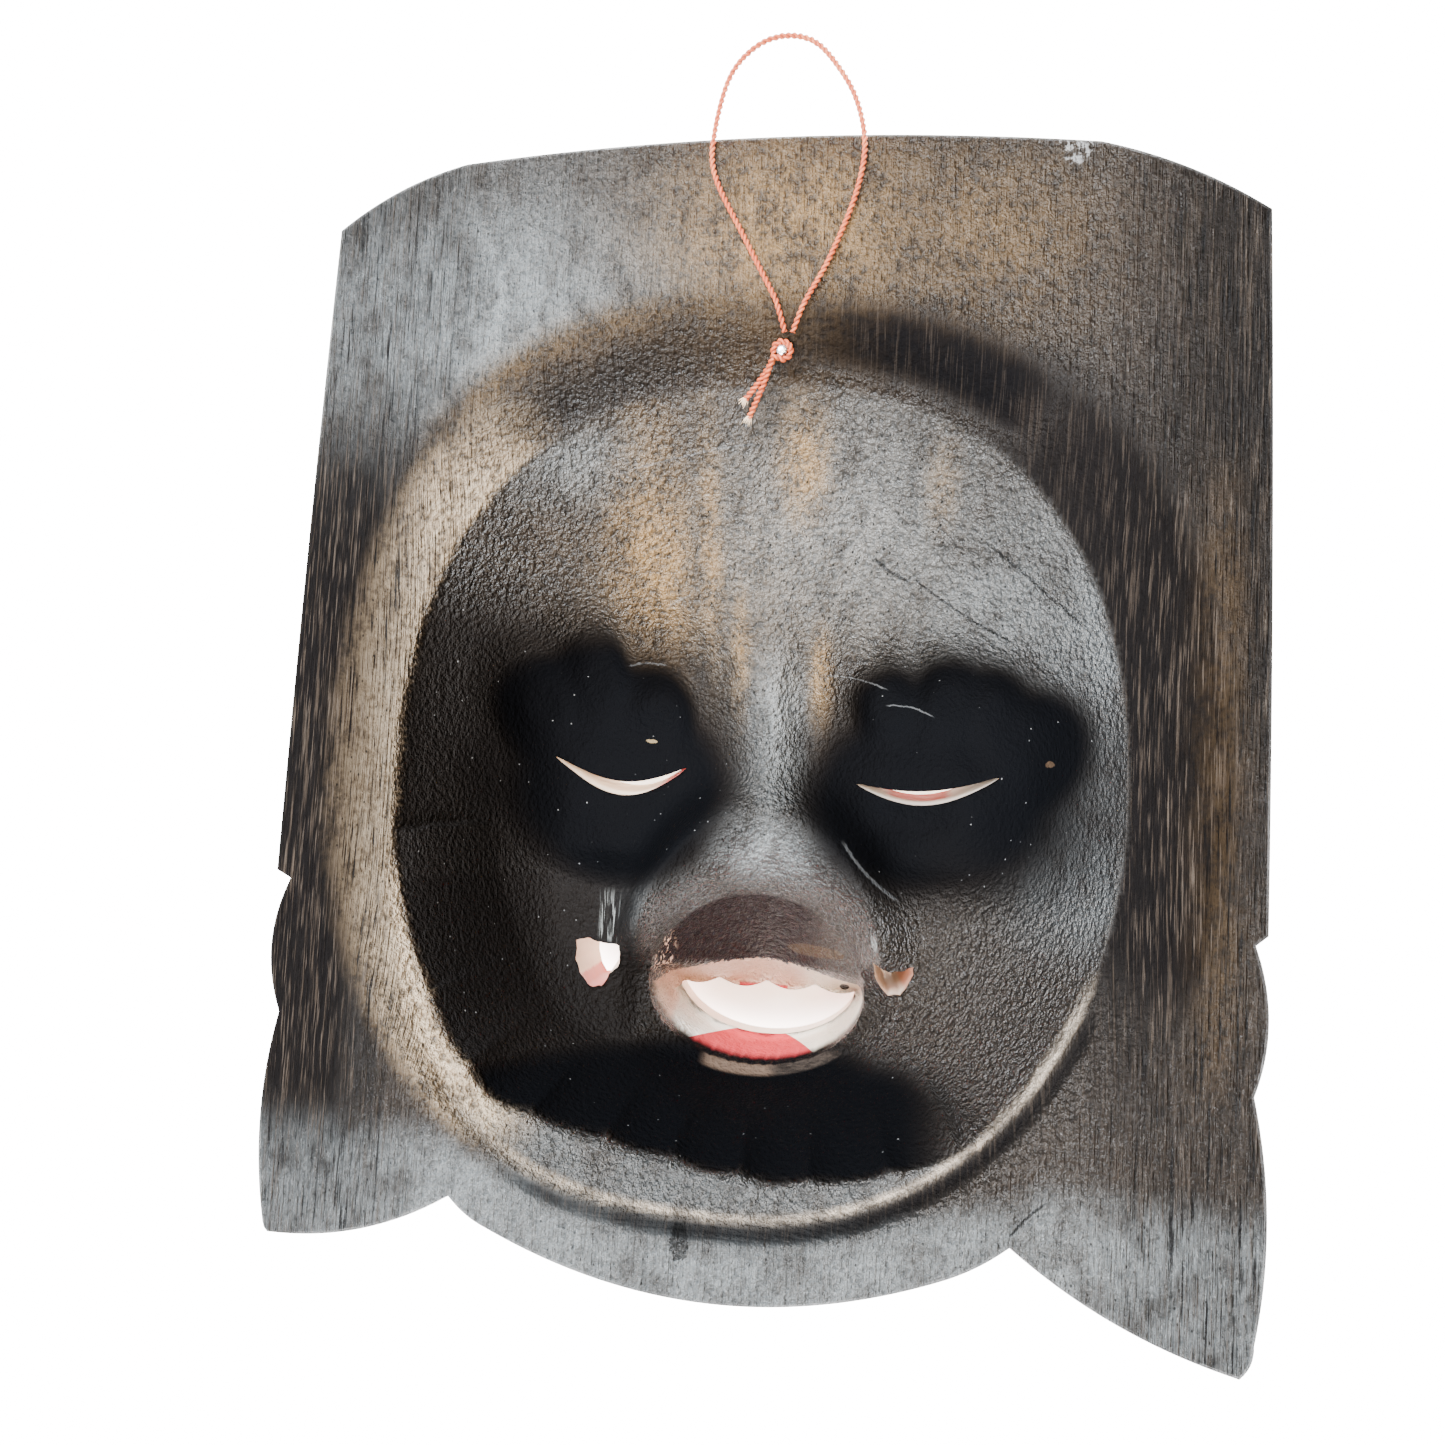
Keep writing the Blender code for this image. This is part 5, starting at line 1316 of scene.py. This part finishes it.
def new_object(name, verts, faces):
    # Smooth-shaded mesh object linked to the scene.
    data = bpy.data.meshes.new(name)
    data.from_pydata(verts, [], faces)
    data.polygons.foreach_set("use_smooth", np.ones(len(data.polygons), dtype=bool))
    ob = bpy.data.objects.new(name, data)
    bpy.context.scene.collection.objects.link(ob)
    return ob


def ring_faces(start, rows, sides):
    faces = []
    for i in range(rows - 1):
        for j in range(sides):
            p, q = start + i * sides, start + (i + 1) * sides
            j2 = (j + 1) % sides
            faces.append((p + j, p + j2, q + j2, q + j))
    faces.append(tuple(start + j for j in reversed(range(sides))))
    faces.append(tuple(start + (rows - 1) * sides + j for j in range(sides)))
    return faces


def rope_mesh(name, points, radius, pitch, sides, fray_at=()):
    # Two waxed strands twisted round a smooth route given in millimetres.
    seg = np.linalg.norm(np.diff(points, axis=0), axis=1)
    run = np.concatenate(([0.0], np.cumsum(seg)))
    count = int(run[-1] / 0.2)
    s = np.linspace(0.0, run[-1], count)
    line = np.stack([np.interp(s, run, points[:, k]) for k in range(3)], axis=1)
    tangent = np.gradient(line, axis=0)
    tangent /= np.linalg.norm(tangent, axis=1)[:, None]
    side = np.cross(tangent[0], (0.0, 0.0, 1.0))
    side /= np.linalg.norm(side)
    frames = []
    for t in tangent:
        side = side - t * np.dot(side, t)
        side /= np.linalg.norm(side)
        frames.append((side.copy(), np.cross(t, side)))
    verts = []
    faces = []
    fray = []
    crevice_shade = []
    strand_radius = radius * 0.6
    offset = radius - strand_radius
    for k in range(STRANDS):
        phase = 2 * math.pi * k / STRANDS
        start = len(verts)
        for i in range(count):
            a = phase + 2 * math.pi * s[i] / pitch
            n, b = frames[i]
            out = n * math.cos(a) + b * math.sin(a)
            centre = line[i] + out * offset
            for j in range(sides):
                c = 2 * math.pi * j / sides
                way = n * math.cos(c) + b * math.sin(c)
                verts.append(centre + way * strand_radius)
                fray.append(0.0)
                # Share of painted shade, most on the side of each strand that faces the other.
                crevice_shade.append(0.5 - 0.9 * float(np.dot(way, out)))
        faces += ring_faces(start, count, sides)
    for end in fray_at:
        i = 0 if end == 0 else count - 1
        t = -tangent[i] if end == 0 else tangent[i]
        n, b = frames[i]
        for k in range(FRAY_FIBRES):
            a = 2.399963 * k
            spread = 0.75 * math.sqrt((k + 0.5) / FRAY_FIBRES)
            out = n * math.cos(a) + b * math.sin(a)
            tip = line[i] + t * (1.5 + 0.5 * math.sin(5.0 * k)) + out * spread * 1.5
            foot = line[i] - t * 0.3 + out * spread * 0.5
            start = len(verts)
            for centre, r in ((foot, 0.13), ((foot + tip) / 2 + out * 0.08, 0.11), (tip, 0.05)):
                for j in range(3):
                    c = 2 * math.pi * j / 3
                    verts.append(centre + (n * math.cos(c) + b * math.sin(c)) * r)
                    fray.append(1.0)
                    crevice_shade.append(0.0)
            faces += ring_faces(start, 3, 3)
    ob = new_object(name, ((np.array(verts) + SHIFT) * MM).tolist(), faces)
    data = ob.data
    for field, values in (("fray", fray), ("crevice_shade", crevice_shade)):
        layer = data.attributes.new(field, "FLOAT", "POINT")
        layer.data.foreach_set("value", np.array(values, dtype=np.float32))
    bm = bmesh.new()
    bm.from_mesh(data)
    bmesh.ops.recalc_face_normals(bm, faces=bm.faces)
    bm.to_mesh(data)
    bm.free()
    return ob, line


def build_nail():
    base = -float(back_depth(NAIL_X, NAIL_Y))
    head = base + NAIL_STANDS_OUT
    r1 = NAIL_HEAD_RADIUS + 0.1
    dome = 0.45
    profile = [(0.0, head + dome)]
    for k in range(1, 8):
        a = math.pi / 2 * k / 7
        profile.append((r1 * math.sin(a), head + dome * math.cos(a)))
    profile += [(r1, head - 0.22), (r1 - 0.08, head - 0.3), (NAIL_SHANK_RADIUS + 0.1, head - 0.42),
                (NAIL_SHANK_RADIUS, head - 0.6), (NAIL_SHANK_RADIUS, base - NAIL_IN_WOOD + 1.5),
                (0.0, base - NAIL_IN_WOOD)]
    sides = 40
    verts = []
    faces = []
    rings = []
    for r, z in profile:
        ring = []
        for i in range(1 if r == 0.0 else sides):
            a = 2 * math.pi * i / sides
            dent = 1.0 + 0.03 * math.sin(3 * a + 1.0) + 0.02 * math.sin(7 * a)
            verts.append((NAIL_X + r * dent * math.cos(a), NAIL_Y + r * dent * math.sin(a),
                          z + 0.04 * math.sin(2 * a) * r))
            ring.append(len(verts) - 1)
        rings.append(ring)
    for a, b in zip(rings, rings[1:]):
        for i in range(sides):
            j = (i + 1) % sides
            if len(a) == 1:
                faces.append((a[0], b[i], b[j]))
            elif len(b) == 1:
                faces.append((a[i], b[0], a[j]))
            else:
                faces.append((a[i], b[i], b[j], a[j]))
    return new_object("nail_fine", ((np.array(verts) + SHIFT) * MM).tolist(), faces)


def add_camera():
    right = Vector((0.9874, 0.0522, -0.1493)).normalized()
    view = Vector((-0.1526, 0.0663, -0.9861)).normalized()
    up = right.cross(view).normalized()
    data = bpy.data.cameras.new("camera")
    data.sensor_width = 36.0
    data.sensor_fit = "HORIZONTAL"
    data.lens = 36.0 * FOCAL_PIXELS / PHOTO_PIXELS
    data.clip_start = 0.01
    ob = bpy.data.objects.new("camera", data)
    turn = Matrix((right, up, -view)).transposed()
    ob.matrix_world = Matrix.Translation(place(29.09, 8.33, 212.07)) @ turn.to_4x4()
    bpy.context.scene.collection.objects.link(ob)
    bpy.context.scene.camera = ob


def add_light(name, way, distance, size, energy, colour):
    way = Vector(way).normalized()
    data = bpy.data.lights.new(name, "AREA")
    data.shape = "DISK"
    data.size = size
    data.energy = energy
    data.color = colour
    ob = bpy.data.objects.new(name, data)
    ob.location = Vector((0.0, 0.0, 0.07)) + way * distance
    ob.rotation_euler = way.to_track_quat("Z", "Y").to_euler()
    bpy.context.scene.collection.objects.link(ob)


def add_floor():
    size = 4.0
    corners = [(-size, -size, 0), (size, -size, 0), (size, size, 0), (-size, size, 0)]
    ob = new_object("floor", corners, [(0, 1, 2, 3)])
    t = Tree("floor_paper")
    tone = t.noise(t.scaled(120.0, 120.0, 120.0), 2.0)
    t.give("Base Color", t.blend(tone, (0.86, 0.86, 0.86), (0.89, 0.89, 0.89)))
    t.give("Roughness", 0.8)
    # Painted shadow under the mask: the floor glows dimmer and cream there, as it shows through the
    # openings
    gap = t.node("VectorMath", "Value", {0: t.where}, operation="LENGTH")
    away = t.step(gap, 0.075, 0.095)
    t.give("Emission Color", t.blend(away, (1.0, 0.86, 0.70), (1.0, 1.0, 1.0)))
    t.give("Emission Strength", t.step(away, 0.0, 1.0, UNDER_MASK_SHADOW_GLOW, FLOOR_GLOW))
    ob.data.materials.append(t.material)


add_camera()

cord, cord_line = rope_mesh("hanging_loop", loop_route(), ROPE_RADIUS, 2.6, 8)
knot = rope_mesh("nail_turn", knot_route(), ROPE_RADIUS * 1.1, 2.4, 8, (0, 1))[0]
twine = twine_paint()
for ob in (cord, knot):
    ob.data.materials.append(twine)
    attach(ob, "root")
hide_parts("hanging_cord")
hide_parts("cord_knot")

nail = build_nail()
nail.data.materials.append(nail_paint())
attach(nail, "root")
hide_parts("hanging_nail")

mask = build_mask()
for material in (border_paint(), front_paint(), cut_paint(), hollow_paint(), mouth_paint()):
    mask.data.materials.append(material)
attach(mask, "root")
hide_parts("mask_body")

add_floor()
add_light("window_upper_left", (-0.29, 0.50, 0.82), 1.3, 0.75, 76.0, (0.84, 0.92, 1.0))
add_light("warm_overhead", (0.25, 0.05, 0.97), 1.3, 0.22, 17.0, (1.0, 0.78, 0.54))
add_light("soft_below", (-0.10, -0.62, 0.78), 1.4, 0.8, 74.0, (0.97, 0.98, 1.0))
add_light("soft_left", (-0.9, 0.0, 0.44), 1.3, 0.6, 9.0, (0.92, 0.95, 1.0))
world = bpy.data.worlds.new("studio")
world.use_nodes = True
world.node_tree.nodes["Background"].inputs["Color"].default_value = (1.0, 1.0, 1.0, 1.0)
world.node_tree.nodes["Background"].inputs["Strength"].default_value = WORLD_LIGHT
bpy.context.scene.world = world
